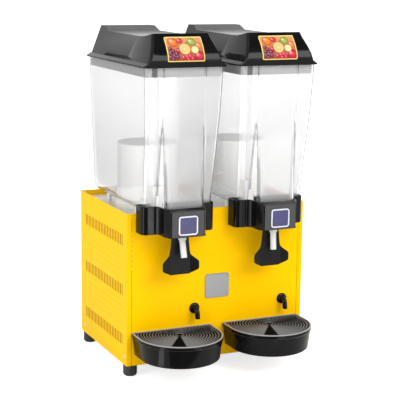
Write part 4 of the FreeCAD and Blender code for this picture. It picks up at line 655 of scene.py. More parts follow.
def copper_pipe(colours):
    """Bare copper, brighter where it is clean and brown where it has dulled."""
    made = Finish("copper_pipe", (0.72, 0.33, 0.18), 0.3, metallic=1.0)
    stain = made.noise(38.0, detail=6.0)
    made.tint(made.ramp(stain, 0.35, 0.65), (0.76, 0.36, 0.2), (0.42, 0.18, 0.1))
    made.shine(stain, 0.2, 0.5)
    made.bump(made.noise(300.0), 0.00005, strength=0.4)
    return made.material


def fin_sheet(colours):
    """Aluminium fins: pale, dull and slightly oxidised."""
    made = Finish("fin_sheet", (0.66, 0.67, 0.68), 0.42, metallic=1.0)
    made.tint(made.noise(45.0), (0.56, 0.57, 0.58), (0.74, 0.75, 0.76))
    made.shine(made.noise(110.0), 0.34, 0.56)
    made.bump(made.noise(420.0), 0.00003, strength=0.4)
    return made.material


def ferrite(colours):
    """Sintered magnet: charcoal grey with a fine sparkle."""
    made = Finish("ferrite", (0.05, 0.05, 0.055), 0.5, metallic=0.4)
    made.tint(made.noise(600.0), (0.03, 0.03, 0.033), (0.1, 0.1, 0.11))
    made.shine(made.noise(500.0), 0.35, 0.6)
    made.bump(made.noise(1000.0), 0.00003, edge=0.0004, strength=0.4)
    return made.material


# The printed plate on the lids

class Print(Finish):
    """A printed plate: flat shapes laid one over another on a place held in the mesh, in centimetres."""

    def __init__(self, name, ground):
        super().__init__(name, (0.8, 0.3, 0.1), 0.3, Specular_IOR_Level=0.15)
        held = self.nodes.new("ShaderNodeAttribute")
        held.attribute_name = "print_place"
        self.spot = held.outputs["Vector"]
        split = self.split(self.spot)
        self.across, self.upward = split["X"], split["Y"]
        self.colour = self.mix(self.ramp(self.upward, 0.3, 5.2), *ground)

    def distance(self, centre):
        """Distance from a centre on the plate."""
        made = self.nodes.new("ShaderNodeVectorMath")
        made.operation = "DISTANCE"
        self.links.new(self.spot, made.inputs[0])
        made.inputs[1].default_value = (*centre, 0.0)
        return made.outputs["Value"]

    def lay(self, reach, edge, colour, soft=0.025):
        """Lay a colour over the print wherever a reach is less than an edge, with a soft border."""
        self.colour = self.mix(self.fade(reach, edge - soft, edge + soft), self.colour, colour)

    def disc(self, centre, radius, colour, shadow, shine=0.35):
        """A round berry: darker towards its edge, with a soft highlight up and to its left."""
        reach = self.distance(centre)
        skin = self.mix(self.ramp(reach, 0.3 * radius, radius), colour, shadow)
        gleam = self.distance((centre[0] - 0.35 * radius, centre[1] + 0.35 * radius))
        light = tuple(min(1.0, part + shine) for part in colour)
        self.lay(reach, radius, self.mix(self.fade(gleam, 0.05 * radius, 0.45 * radius), skin, light))

    def slice(self, centre, radius, rind, flesh, parts):
        """A cut round fruit: rind, pale pith and wedges of flesh set evenly round its middle."""
        reach = self.distance(centre)
        turn = self.figure("ARCTAN2", self.figure("SUBTRACT", self.upward, centre[1]),
                           self.figure("SUBTRACT", self.across, centre[0]))
        wave = self.figure("ABSOLUTE", self.figure("SINE", self.figure("MULTIPLY", turn, parts / 2)))
        wedges = self.ramp(wave, 0.16, 0.3)
        pith = self.ramp(reach, 0.08 * radius, 0.16 * radius)
        pulp = self.fade(reach, 0.78 * radius, 0.84 * radius)
        wedges = self.figure("MULTIPLY", wedges, self.figure("MULTIPLY", pith, pulp))
        inside = self.mix(wedges, (0.9, 0.82, 0.6), flesh)
        self.lay(reach, radius, self.mix(self.ramp(reach, 0.87 * radius, 0.91 * radius), inside, rind))

    def leaf(self, first, second, radius, colour):
        """A leaf: what two discs of one radius share."""
        both = self.figure("MAXIMUM", self.distance(first), self.distance(second))
        self.lay(both, radius, colour, soft=0.03)

    def frame(self, half, height, width, colour):
        """A border of one width round the plate."""
        side = self.figure("SUBTRACT", half, self.figure("ABSOLUTE", self.across))
        from_middle = self.figure("ABSOLUTE", self.figure("SUBTRACT", self.upward, height / 2))
        near = self.figure("MINIMUM", side, self.figure("SUBTRACT", height / 2, from_middle))
        self.lay(near, width, colour, soft=0.02)


def fruit_print(colours):
    """A plain fruit design: two citrus slices, berries, round fruit and leaves inside a yellow border."""
    made = Print("fruit_print", ((0.33, 0.03, 0.03), (0.72, 0.3, 0.12)))
    made.disc((-2.4, 4.3), 1.15, (0.86, 0.24, 0.04), (0.5, 0.07, 0.01))
    made.disc((-0.9, 4.6), 0.7, (0.7, 0.05, 0.04), (0.3, 0.01, 0.02))
    made.disc((3.1, 3.4), 0.75, (0.78, 0.3, 0.12), (0.5, 0.12, 0.03))
    made.disc((2.9, 1.1), 1.1, (0.66, 0.02, 0.05), (0.28, 0.0, 0.02))
    made.disc((-1.5, 2.3), 0.6, (0.6, 0.03, 0.05), (0.25, 0.0, 0.02))
    made.leaf((0.2, 5.0), (1.3, 3.6), 1.15, (0.12, 0.3, 0.04))
    made.slice((-0.1, 2.7), 1.2, (0.86, 0.32, 0.02), (0.9, 0.5, 0.1), 9)
    made.disc((1.7, 4.3), 0.95, (0.34, 0.46, 0.08), (0.12, 0.22, 0.03))
    made.slice((2.1, 2.5), 0.8, (0.5, 0.5, 0.06), (0.85, 0.76, 0.3), 8)
    for centre in ((-3.3, 2.7), (-2.7, 2.2), (-3.3, 1.7), (-2.6, 1.2), (-3.4, 0.9), (-1.9, 1.0), (-2.8, 0.5),
                   (-2.0, 1.6)):
        made.disc(centre, 0.45, (0.2, 0.03, 0.09), (0.05, 0.01, 0.04), shine=0.25)
    for centre in ((-0.6, 0.8), (0.2, 1.0), (0.9, 1.2), (0.5, 0.45), (1.4, 0.6)):
        made.disc(centre, 0.45, (0.75, 0.03, 0.07), (0.35, 0.0, 0.03))
    made.leaf((-1.4, -0.1), (-1.0, 1.3), 0.8, (0.16, 0.3, 0.06))
    made.frame(4.1, 5.55, 0.2, colours.print_border)
    made.tint(0.27, made.colour, (0.12, 0.03, 0.02))
    made.shine(made.noise(70.0), 0.18, 0.28)
    return made.material


FINISH_MAKERS = {maker.__name__: maker for maker in (
    yellow_paint, brushed_steel, polished_drum, zinc_sheet, satin_plate, black_gloss, black_grained,
    clear_plastic, clear_front, clear_edge_highlight, clear_fold_shade, black_face_sheen, black_tray, clear_tube,
    grille_black, white_plastic, silicone, bright_steel, grey_skirt, black_satin, badge_border,
    badge_blue, black_rubber, black_enamel, copper_pipe, fin_sheet, ferrite, fruit_print,
)}


# The floor, the light and the camera

def floor_finish(lift):
    """A pale floor that glows a little where it is seen, so that only deep shade marks it."""
    made = Finish("pale_floor", (0.8, 0.8, 0.8), 0.9, Specular_IOR_Level=0.0, Emission_Color=WHITE)
    rays = made.nodes.new("ShaderNodeLightPath").outputs
    seen = made.figure("MAXIMUM", rays["Is Camera Ray"], rays["Is Transmission Ray"])
    made.into("Emission Strength", made.figure("MULTIPLY", seen, lift))
    return made.material


def flat_piece(name, corners):
    """One flat face with the given corners."""
    mesh = bpy.data.meshes.new(name)
    mesh.from_pydata([tuple(corner) for corner in corners], [], [tuple(range(len(corners)))])
    return placed(name, mesh)


def flat_sheet(name, half_width, half_length, place, facing=(0, 0, 1)):
    """A flat sheet: the corners of a rectangle across a direction, one side of it level."""
    normal = Vector(facing).normalized()
    upright = abs(normal.z) < 0.99
    side = normal.cross(Vector((0, 0, 1))).normalized() if upright else Vector((1, 0, 0))
    other = normal.cross(side)
    return flat_piece(name, [Vector(place) + side * (a * half_width) + other * (b * half_length)
                             for a, b in ((-1, -1), (1, -1), (1, 1), (-1, 1))])


def soft_light(name, place, target, size, power):
    """A soft box that faces its target and that neither the camera nor clear plastic shows."""
    light = bpy.data.lights.new(name, "AREA")
    light.shape = "RECTANGLE"
    light.size, light.size_y = size
    light.energy = power
    made = placed(name, light)
    made.location = place
    made.rotation_euler = (Vector(target) - Vector(place)).to_track_quat("-Z", "Y").to_euler()
    made.visible_camera = False
    made.visible_transmission = False
    return made


def studio_world(ambient):
    """White where it is seen, mirrored or looked through, and softer where it lights the object."""
    world = bpy.data.worlds.new("studio")
    bpy.context.scene.world = world
    world.use_nodes = True
    nodes, links = world.node_tree.nodes, world.node_tree.links
    rays = nodes.new("ShaderNodeLightPath").outputs
    seen = rays["Is Camera Ray"]
    for ray in ("Is Glossy Ray", "Is Transmission Ray"):
        both = nodes.new("ShaderNodeMath")
        both.operation = "MAXIMUM"
        links.new(seen, both.inputs[0])
        links.new(rays[ray], both.inputs[1])
        seen = both.outputs[0]
    strength = nodes.new("ShaderNodeMapRange")
    strength.inputs["To Min"].default_value = ambient
    strength.inputs["To Max"].default_value = 1.0
    links.new(seen, strength.inputs["Value"])
    nodes["Background"].inputs["Color"].default_value = WHITE
    links.new(strength.outputs["Result"], nodes["Background"].inputs["Strength"])


def look_through(studio):
    """The camera, whose right, up and backward axes come from its yaw, downward pitch and roll."""
    yaw, pitch, roll = studio.camera_yaw, studio.camera_pitch, studio.camera_roll
    ahead = Vector((math.sin(yaw) * math.cos(pitch), math.cos(yaw) * math.cos(pitch), -math.sin(pitch)))
    level = Vector((math.cos(yaw), -math.sin(yaw), 0))
    upright = level.cross(ahead)
    right = level * math.cos(roll) + upright * math.sin(roll)
    up = upright * math.cos(roll) - level * math.sin(roll)
    data = bpy.data.cameras.new("Photo view")
    data.sensor_width = 36.0
    data.lens = studio.camera_lens
    data.clip_end = 200.0
    made = placed("Photo view", data)
    axes = Matrix((right, up, -ahead)).transposed().to_4x4()
    made.matrix_world = Matrix.Translation(studio.camera_place) @ axes
    bpy.context.scene.camera = made


def seen_by(card, ray, glow=0.0):
    """Make a card black, or glowing, and let one kind of ray alone see it."""
    made = Finish(card.name, (0.0, 0.0, 0.0), 1.0, Specular_IOR_Level=0.0, Emission_Color=WHITE,
                  Emission_Strength=glow)
    card.data.materials.append(made.material)
    for kind in ("camera", "diffuse", "glossy", "transmission", "shadow", "volume_scatter"):
        setattr(card, "visible_" + kind, kind == ray)
    return card


def mirror_wedge(name, bearing, spread, glow=0.0):
    """A wedge just over the floor that only mirrors show, black or glowing: it draws streaks on gloss."""
    near, far, over_floor, middle_y = 0.28, 5.0, 0.002, -0.08
    turn = np.radians([bearing - spread, bearing + spread])
    edge = np.stack([np.sin(turn), -np.cos(turn)], -1)
    corners = np.insert(np.concatenate([near * edge, far * edge[::-1]]), 2, over_floor, axis=1)
    return seen_by(flat_piece(name, corners + np.array([0, middle_y, 0])), "glossy", glow)


def make_studio(studio):
    """A pale floor, white surroundings, three soft boxes, and dark and bright cards for the bowls' edges and
    the gloss, seen by the camera at the photo's angle."""
    floor = flat_sheet("floor", 60.0, 60.0, (0, 0, 0))
    floor.data.materials.append(floor_finish(studio.floor_glow))
    soft = [
        soft_light("Key", (1.0, -2.2, 1.9), (0, 0, 0.3), (1.8, 1.4), studio.key),
        soft_light("Top", (0.3, 0.2, 2.6), (0, 0, 0.4), (1.8, 1.8), studio.top),
        soft_light("Side", (-2.4, -1.0, 1.3), (0, 0, 0.35), (0.8, 1.8), studio.side),
    ]
    cards = [
        seen_by(flat_sheet("left_flag", 0.5, 1.2, (-1.0, 1.6, 0.6), (0.5, -1, 0)), "transmission"),
        seen_by(flat_sheet("brow_flag", 0.65, 0.5, (0.69, -0.94, 1.89), (-0.69, 0.82, -1.19)), "glossy"),
        mirror_wedge("camera_shade", -24.0, 30.0),
        mirror_wedge("left_streak", -66.0, 4.0, glow=5.0),
        mirror_wedge("front_streak", 10.0, 3.0, glow=6.0),
    ]
    studio_world(studio.ambient)
    look_through(studio)
    bpy.context.scene.view_settings.view_transform = "Standard"


# Bowls

def bowl_section(sizes, height, inset, along):
    """Right half of a bowl's outline at one height: along is 0 at the rim, 1 at the flutes' top and 2 at the
    heel. The half width shrinks evenly down to the heel; nose and lobes part below the flutes' top."""
    low = max(0.0, along - 1)
    drop = min(1.0, (sizes.bowl_rim - height) / (sizes.bowl_rim - sizes.bowl_floor - sizes.bowl_heel))
    half = sizes.bowl_half - sizes.bowl_taper * drop - inset
    rear = sizes.bowl_rear - inset
    plain = sizes.bowl_front + sizes.bowl_lean * min(1.0, along)
    lobe = plain + (sizes.lobe_front - plain) * low + inset
    nose = plain + (sizes.nose_front - plain) * low + min(inset, sizes.bowl_wall)
    flank = sizes.nose_half - min(inset, sizes.bowl_wall)
    bevel = sizes.nose_bevel
    return [
        (flank - bevel, nose),
        (flank, nose + bevel * low),
        (flank + bevel / 3, lobe - bevel * low),
        (flank + bevel, lobe),
        (half, lobe),
        (half, rear),
    ]


def bowl_rings(sizes, inset):
    """Outlines of a bowl from its floor to its rim, drawn in by the inset, with a round heel."""
    heel = sizes.bowl_heel - inset
    floor = sizes.bowl_floor + inset
    levels = [(floor + heel * (1 - math.cos(turn)), inset + heel * (1 - math.sin(turn)), 2.0)
              for turn in np.linspace(0, math.pi / 2, 7)]
    levels += [(floor + heel + (sizes.flute_top - floor - heel) * share, inset, 2 - share)
               for share in np.linspace(0, 1, 9)[1:]]
    levels += [(sizes.bowl_rim - sizes.skirt_show, inset, 0.0), (sizes.bowl_rim, inset, 0.0)]
    outlines = [mirrored(bowl_section(sizes, *level)) for level in levels]
    bevel, corner = sizes.nose_bevel, sizes.bowl_corner
    reach = np.array(both_ways([0.45 * bevel, 0.3 * bevel, 0.3 * bevel, 0.3 * bevel, corner, corner]))
    reach = reach * (1 - 0.25 * min(1.0, inset / sizes.bowl_wall))
    return with_height(rounded_path(np.array(outlines), reach, 7), [level[0] for level in levels])


def finish_bowl_front(sizes, piece, centre):
    """Give a bowl's front its milky face with painted shade at its foot, a painted highlight on its edges and
    flutes, and painted shade on the folds along its flutes.
    """
    for name in ("clear_front", "clear_edge_highlight", "clear_fold_shade"):
        piece.data.materials.append(finish(name))
    facing = np.abs(gathered(piece.data.polygons, "normal"))
    x, y, z = gathered(piece.data.polygons, "center").T
    front = (y < sizes.lobe_front + sizes.bowl_corner) & (z < sizes.bowl_rim - sizes.skirt_show)
    milky = front & (facing[:, 1] > 0.9)
    edge = front & ~milky & (facing[:, 0] < 0.98) & (facing[:, 2] < 0.6)
    near_flank = np.abs(np.abs(x - centre) - sizes.nose_half) < 1.6 * sizes.nose_bevel
    flute = front & ~milky & near_flank & (z < sizes.flute_top)
    fold_shade = flute & (facing[:, 0] < 0.8)
    # Painted highlight on edges and flutes, painted shade on their folds.
    index = np.where(fold_shade, 3, np.where(edge | flute, 2, milky * 1))
    piece.data.polygons.foreach_set("material_index", index)


def make_bowls(sizes):
    """Clear bowls: an outer and an inner skin of rounded sections joined over the rim and round the drum's
    hole, with a turned neck for the piston below."""
    drum = middle("evaporators")[1]
    outside = bowl_rings(sizes, 0.0)
    inside = bowl_rings(sizes, sizes.bowl_wall)[::-1]
    bearing = np.arctan2(outside[0, :, 1] - drum, outside[0, :, 0])
    hole = sizes.drum_hole * np.stack([np.cos(bearing), np.sin(bearing)], -1)[None] + [0, drum]
    under = with_height(hole, [sizes.bowl_floor])
    over = with_height(hole, [sizes.bowl_floor + sizes.bowl_wall])
    skin = np.concatenate([under, outside, inside, over])
    neck = [(sizes.neck_bore, -sizes.neck_drop), (sizes.neck_radius, -sizes.neck_drop),
            (sizes.neck_radius, -sizes.neck_gap), (sizes.neck_bore, -sizes.neck_gap)]
    for side in SIDES:
        node = "bowl_" + side
        centre = middle(node)[0]
        tap = middle("piston_" + side)
        shell = Shell().rings(skin + [centre, 0, 0], closed=True)
        shell.turned(neck, (tap[0], tap[1], sizes.bowl_floor), steps=40)
        piece = shell.make("clear_bowl_" + side)
        finish_piece(piece, finish("clear_plastic"), node, replaced=(node,), smooth=50)
        finish_bowl_front(sizes, piece, centre)
        piece.visible_shadow = False


# Lids

def level_outline(half, front, rear, corner, steps=9):
    """A rounded rectangle from its half width, its front, its rear and its corners' reach."""
    corners = [(half, front), (half, rear), (-half, rear), (-half, front)]
    return rounded_path(np.array(corners), corner, steps)


def lid_side(sizes, rise):
    """Half width of a lid's side wall at a rise over its rim's foot: it leans in evenly over the flare."""
    slope = (sizes.lid_flare_half - sizes.lid_top_half) / (sizes.lid_flat - sizes.lid_flare)
    return sizes.lid_flare_half - slope * (rise - sizes.lid_flare)


def lid_face(sizes, rise):
    """Y of a lid's front face at a rise over its rim's foot: straight runs between the face's bends."""
    bends = (sizes.lid_rim, sizes.lid_chin, sizes.lid_jaw, sizes.lid_cheek, sizes.lid_crest)
    leans = (0, sizes.chin_lean, sizes.jaw_lean, sizes.cheek_lean, sizes.crest_lean)
    return sizes.lid_front + np.interp(rise, bends, leans)


def lid_hull(name, sizes, base, wall):
    """A lid's hull drawn in by a wall: rounded rectangles that follow its side, its face and its rear."""
    rise = np.array([0, sizes.lid_rim, sizes.lid_flare, sizes.lid_chin, sizes.lid_jaw, sizes.lid_cheek,
                     sizes.lid_flat, sizes.lid_crest])
    width = np.where(rise < sizes.lid_flare, sizes.lid_half, lid_side(sizes, rise))
    front = lid_face(sizes, rise)
    over_rim = (rise - sizes.lid_rim).clip(0) / (sizes.lid_crest - sizes.lid_rim)
    rear = sizes.lid_rear - sizes.lid_rear_lean * over_rim
    outlines = [level_outline(w - wall, f + wall, r - wall, sizes.lid_corner)
                for w, f, r in zip(width, front, rear)]
    heights = base + rise - wall * (rise > sizes.lid_cheek)
    heights[0] -= wall
    return Shell().rings(with_height(np.array(outlines), heights), bottom=True, top=True).make(name)


def side_prism(name, outline, half):
    """An outline of Y and Z drawn across the width."""
    outline = np.asarray(outline, float)
    rings = [np.insert(outline, 0, x, axis=1) for x in (-half, half)]
    return Shell().rings(np.array(rings), bottom=True, top=True).make(name)


def roof_valley(sizes, base, drop):
    """What is left out over a lid's flat top, between its brow and its crest, or over the room inside it."""
    flat = base + sizes.lid_flat - drop
    crest = base + sizes.lid_crest - drop
    tall = base + sizes.lid_crest + sizes.cut_room
    shift = 0.4 * drop
    return side_prism("valley", [
        (sizes.brow_y + shift, crest - sizes.brow_fall),
        (sizes.flat_front - shift, flat),
        (sizes.flat_rear + shift, flat),
        (sizes.crest_y - shift, crest),
        (sizes.crest_y - shift, tall),
        (sizes.brow_y + shift, tall),
    ], sizes.lid_half + sizes.cut_room)


def side_bar(name, sizes, base, sign, sections):
    """A bar along a lid's side: each section has its foot, its head, how deep it lies under the side wall at
    both, and the Y of each of its four corners."""
    rings = []
    for foot, head, depth_low, depth_high, ends in sections:
        outer = sizes.lid_half + sizes.cut_room
        corners = [(lid_side(sizes, foot) - depth_low, foot), (outer, foot), (outer, head),
                   (lid_side(sizes, head) - depth_high, head)]
        rings.append([(sign * x, y, base + z) for (x, z), y in zip(corners, ends)])
    return Shell().rings(np.array(rings), bottom=True, top=True).make(name)


def side_scoop(sizes, base, sign):
    """What is left out of a lid's side: one depth up to the rear, ramped and slanted at its front end."""
    foot, head, depth = sizes.lid_flare, sizes.lid_flat + sizes.cut_room, sizes.grip_depth
    slant = sizes.grip_slant / (sizes.lid_flat - foot)
    outer = sizes.lid_half + sizes.cut_room
    corners = [(lid_side(sizes, foot) - depth, foot), (outer, foot), (outer, head),
               (lid_side(sizes, head) - depth, head)]
    start = [sizes.grip_front + slant * (z - foot) + sizes.grip_ramp / depth * (lid_side(sizes, z) - x)
             for x, z in corners]
    return side_bar("scoop", sizes, base, sign, [(foot, head, depth, depth, ends)
                                                 for ends in (start, [sizes.grip_rear] * 4)])


def finger_groove(sizes, base, sign):
    """An undercut over a lid's flare that runs out at both ends."""
    foot, head = sizes.lid_flare, sizes.lid_flare + sizes.groove_height
    ahead, behind, deep, proud = sizes.groove_front, sizes.groove_rear, sizes.groove_depth, 0.0005
    shallow = sizes.grip_depth - 0.0003
    stations = ((ahead, -proud, -proud), (ahead + 0.026, 0.005, -proud), (ahead + 0.05, deep, shallow),
                (behind - 0.02, deep, shallow), (behind, sizes.grip_depth - proud, -proud))
    sections = [(foot, head, low, high, [y] * 4) for y, low, high in stations]
    return side_bar("groove", sizes, base, sign, sections)


def make_lids(sizes):
    """Black lids: a hollow hull with a valley over its flat top, grips in its sides and a skirt below."""
    base = low_corner("lid_left")[2] + sizes.lid_skirt
    hull = lid_hull("lid_hull", sizes, base, 0.0)
    grips = [cut(sizes, base, sign) for sign in (-1, 1) for cut in (side_scoop, finger_groove)]
    bored(hull, [roof_valley(sizes, base, 0.0)] + grips)
    room = lid_hull("lid_room", sizes, base, sizes.lid_wall + 2 * sizes.grip_depth)
    bored(room, [roof_valley(sizes, base, sizes.lid_wall)])
    bored(hull, [room])
    points = gathered(hull.data.vertices, "co")
    for side in SIDES:
        node = "lid_" + side
        shift = middle(node)[0]
        piece = placed("black_lid_" + side, hull.data.copy())
        piece.data.vertices.foreach_set("co", (points + [shift, 0, 0]).ravel())
        finish_piece(piece, finish("black_gloss"), node, replaced=(node,), smooth=28,
                     round_edges=0.0016)
        make_skirt(sizes, node, side, shift, base)
    bpy.data.objects.remove(hull)


def make_skirt(sizes, node, side, shift, base):
    """The lid's skirt inside the bowl's mouth, a closed band, and a black block at its front left corner: a
    painted dark reflection at that corner.
    """
    inner = sizes.bowl_wall + sizes.skirt_gap
    half = sizes.bowl_half - inner - 0.0006
    front = sizes.bowl_front + inner
    rear = sizes.bowl_rear - inner
    corner = 0.8 * sizes.bowl_corner
    thick = sizes.skirt_wall
    outer = level_outline(half, front, rear, corner)
    inside = level_outline(half - thick, front + thick, rear - thick, 0.8 * corner)
    low = base - sizes.skirt_drop
    rings = with_height(np.array([outer, outer, inside, inside]), [low, base, base, low])
    band = Shell().rings(rings + [shift, 0, 0], closed=True)
    finish_piece(band.make("lid_skirt_" + side), finish("grey_skirt"), node, smooth=40)
    # A black block standing in for a dark reflection at the skirt's corner: painted reflection.
    reflection_tab_x = shift - half + sizes.reflection_tab_from_side
    reflection_tab = Shell().block((reflection_tab_x, front - 0.0005, low - 0.0002),
                        (reflection_tab_x + sizes.tab_width, front + thick + 0.004, base))
    finish_piece(reflection_tab.make("lid_reflection_tab_" + side), finish("black_gloss"), node, smooth=30,
                 round_edges=0.0006)


# Collars, badges and the plaque

def collar_outline(sizes, inset, nose_back):
    """A collar's outline seen from above: flanks, round lobes, a stepped nose and its flat face."""
    half = sizes.collar_half - inset
    lobe = sizes.collar_lobe + inset
    flank = sizes.collar_flank - inset
    nose = sizes.collar_nose + nose_back + inset
    step = sizes.collar_step + 0.5 * inset
    least = 0.002
    bevel = sizes.nose_bevel
    return mirrored([
        (flank - 1.3 * bevel + 0.5 * inset, nose),
        (flank, max(step, nose + least) if nose_back else min(step, lobe - least)),
        (flank, lobe - bevel),
        (flank + bevel, lobe),
        (half, lobe),
        (half, sizes.front - 0.0004),
    ])


def collar_levels(sizes, low, top):
    """A collar's wall, up its outside and down its inside: height, inset and how far the nose is set back."""
    bevel, wall, foot, lip = sizes.collar_bevel, sizes.collar_wall, 0.0009, 0.0008
    return [
        (low, foot, 0), (low + foot, 0, 0), (top - bevel, 0, 0), (top - 0.35 * bevel, 0, 0.8 * bevel),
        (top - lip, 0, 1.15 * bevel), (top, lip, 1.2 * bevel), (top, wall, 1.2 * bevel),
        (top - bevel, wall, 0.4 * bevel), (low + wall, wall, 0), (low, wall, 0),
    ]


def collar_floor(sizes, spout_y, low):
    """A collar's floor: a closed band from the spout's round hole out to a rectangle inside the nose."""
    clear = 0.002
    radius = sizes.socket_radius + 0.0003
    flank = sizes.collar_flank - sizes.collar_wall - clear
    nose = sizes.collar_nose + sizes.collar_wall + clear
    angle = np.linspace(0, 2 * math.pi, 48, endpoint=False)
    across, ahead = np.cos(angle), np.sin(angle)
    circle = np.stack([radius * across, spout_y + radius * ahead], -1)
    spread = np.maximum(np.abs(across) / flank, np.abs(ahead))
    edge = np.stack([np.clip(across / spread, -flank, flank),
                     np.where(ahead > 0, sizes.collar_floor_rear, nose)], -1)
    top = low + sizes.collar_wall
    return with_height(np.stack([circle, edge, edge, circle]), [low, low, top, top])


def make_collars(sizes):
    """Glossy collars: a wall of one outline carried upwards, its top edge rolled and its nose bevelled back,
    a floor round the spout and two ears for the lever's pin."""
    reach = np.array(both_ways([0.0025, 0.002, 0.002, 0.003, sizes.collar_corner, 0.0008]))
    for side in SIDES:
        node = "collar_" + side
        shift = middle(node)[0]
        low, top = low_corner(node)[2], high_corner(node)[2]
        levels = collar_levels(sizes, low, top)
        outlines = np.array([collar_outline(sizes, *level[1:]) for level in levels])
        wall = with_height(rounded_path(outlines, reach, 7), [level[0] for level in levels])
        shell = Shell().rings(wall + [shift, 0, 0], closed=True)
        shell.rings(collar_floor(sizes, middle("piston_" + side)[1], low) + [shift, 0, 0], closed=True)
        ear_top = high_corner("lever_" + side)[2]
        for sign in (-1, 1):
            x = shift + sign * sizes.ear_middle
            shell.block((x - sizes.ear_half, sizes.pin_y - sizes.ear_reach, low + 0.001),
                        (x + sizes.ear_half, sizes.pin_y + sizes.ear_reach, ear_top))
        piece = shell.make("black_collar_" + side)
        finish_piece(piece, finish("black_gloss"), "bowl_" + side, replaced=(node,),
                     smooth=32)
        # The front faces of the nose get the paler charcoal: a painted sheen.
        piece.data.materials.append(finish("black_face_sheen"))
        for face in piece.data.polygons:
            if face.normal.y < -0.99 and face.center.y < sizes.collar_nose + 0.001:
                face.material_index = 1


def raised_plate(node, border, rise):
    """A plate as large as its node: rounded outlines stepped outwards, a border raised round a sunk field."""
    low, high = low_corner(node), high_corner(node)
    half = (high[0] - low[0]) / 2
    thick = high[1] - low[1] - 0.0001
    corner, least = 0.006, 0.0008

    def outline(inset):
        x, bottom, top = half - inset, low[2] + inset, high[2] - inset
        corners = np.array([(x, bottom), (x, top), (-x, top), (-x, bottom)])
        return rounded_path(corners, max(corner - inset, least), 7)

    steps = [(0.0, 0.0), (0.0, thick - rise), (rise, thick), (border - rise, thick), (border, thick - rise)]
    rings = [np.insert(outline(inset), 1, high[1] - out, axis=1) for inset, out in steps]
    return Shell().rings(np.array(rings) + [middle(node)[0], 0, 0], bottom=True, top=True)


def make_badges(sizes):
    """Plain blue plates with a pale raised border."""
    for side in SIDES:
        node = "badge_" + side
        piece = raised_plate(node, sizes.badge_border, 0.0004).make("blue_badge_" + side)
        finish_piece(piece, finish("badge_border"), "bowl_" + side, replaced=(node,),
                     smooth=30)
        piece.data.materials.append(finish("badge_blue"))
        field = max(piece.data.polygons, key=lambda face: (face.normal.y < -0.9, face.area))
        field.material_index = 1


def make_plaque(sizes):
    """A plain satin plate with a bevelled edge."""
    node = "front_plaque"
    piece = raised_plate(node, sizes.plaque_border, 0.0005).make("satin_plaque")
    finish_piece(piece, finish("satin_plate"), "root", replaced=(node,), smooth=20)


# Drip trays

def dee_outline(radius, hub, rear, steps=56, corner=0.002):
    """A half-round outline: an arc about the hub, straight flanks and a flat rear with small corners."""
    turn = np.linspace(math.pi, 2 * math.pi, steps)
    arc = np.stack([radius * np.cos(turn), hub + radius * np.sin(turn)], -1)
    spread = np.linspace(0, math.pi / 2, 5)
    right = np.stack([radius - corner + corner * np.cos(spread), rear - corner + corner * np.sin(spread)], -1)
    left = right[::-1] * np.array([-1, 1])
    return np.concatenate([arc, right, left])


def tray_steps(sizes, tall):
    """A tray's side, up its outside, over the rim and down inside: how far drawn in and how high it is."""
    proud, taper, wall = sizes.tray_proud, sizes.tray_taper, sizes.tray_wall
    band = tall - sizes.tray_band
    ledge = tall - sizes.tray_ledge
    inner = proud + wall
    return [
        (taper + proud + 0.0015, 0.0004), (taper + proud, 0.002), (proud + 0.0004, band - 0.0012),
        (0.0006, band), (0, band + 0.0008), (0, tall - 0.0016), (0.0005, tall - 0.0005), (0.0016, tall),
        (inner - 0.001, tall), (inner - 0.0002, tall - 0.0008), (inner, ledge), (inner + 0.003, ledge),
        (inner + 0.0032, ledge - 0.0006), (inner + taper, wall + 0.002), (inner + taper + 0.002, wall),
    ]


def make_trays(sizes):
    """Half-round trays: one outline drawn in and out while it climbs the wall, rolls over the rim and sinks
    inside."""
    for side in SIDES:
        node = "drip_tray_" + side
        low, high = low_corner(node), high_corner(node)
        half = (high[0] - low[0]) / 2
        steps = tray_steps(sizes, high[2] - low[2])
        outlines = [dee_outline(half - inset, low[1] + half, high[1] - 0.6 * inset) for inset, rise in steps]
        rings = with_height(np.array(outlines), [low[2] + rise for inset, rise in steps])
        shell = Shell().rings(rings + [middle(node)[0], 0, 0], bottom=True, top=True)
        finish_piece(shell.make("black_tray_" + side), finish("black_tray"), node, replaced=(node,),
                     smooth=32)


# Levers

def paddle_widths(levels):
    """Half widths of a paddle at its levels: straight runs from the wide wings up to the arms, softened by a
    running mean."""
    rise = np.array([0, 0.0014, 0.0094, 0.0105, 0.028, 0.0405, 0.046, 0.060, 0.078, levels[-1]])
    half = np.array([0.022, 0.0242, 0.0410, 0.0418, 0.0418, 0.0250, 0.0230, 0.0212, 0.0196, 0.0186])
    widths = np.interp(levels, rise, half)
    widths[2:-2] = np.convolve(widths, np.array([1, 2, 3, 2, 1]) / 9, "valid")
    return widths


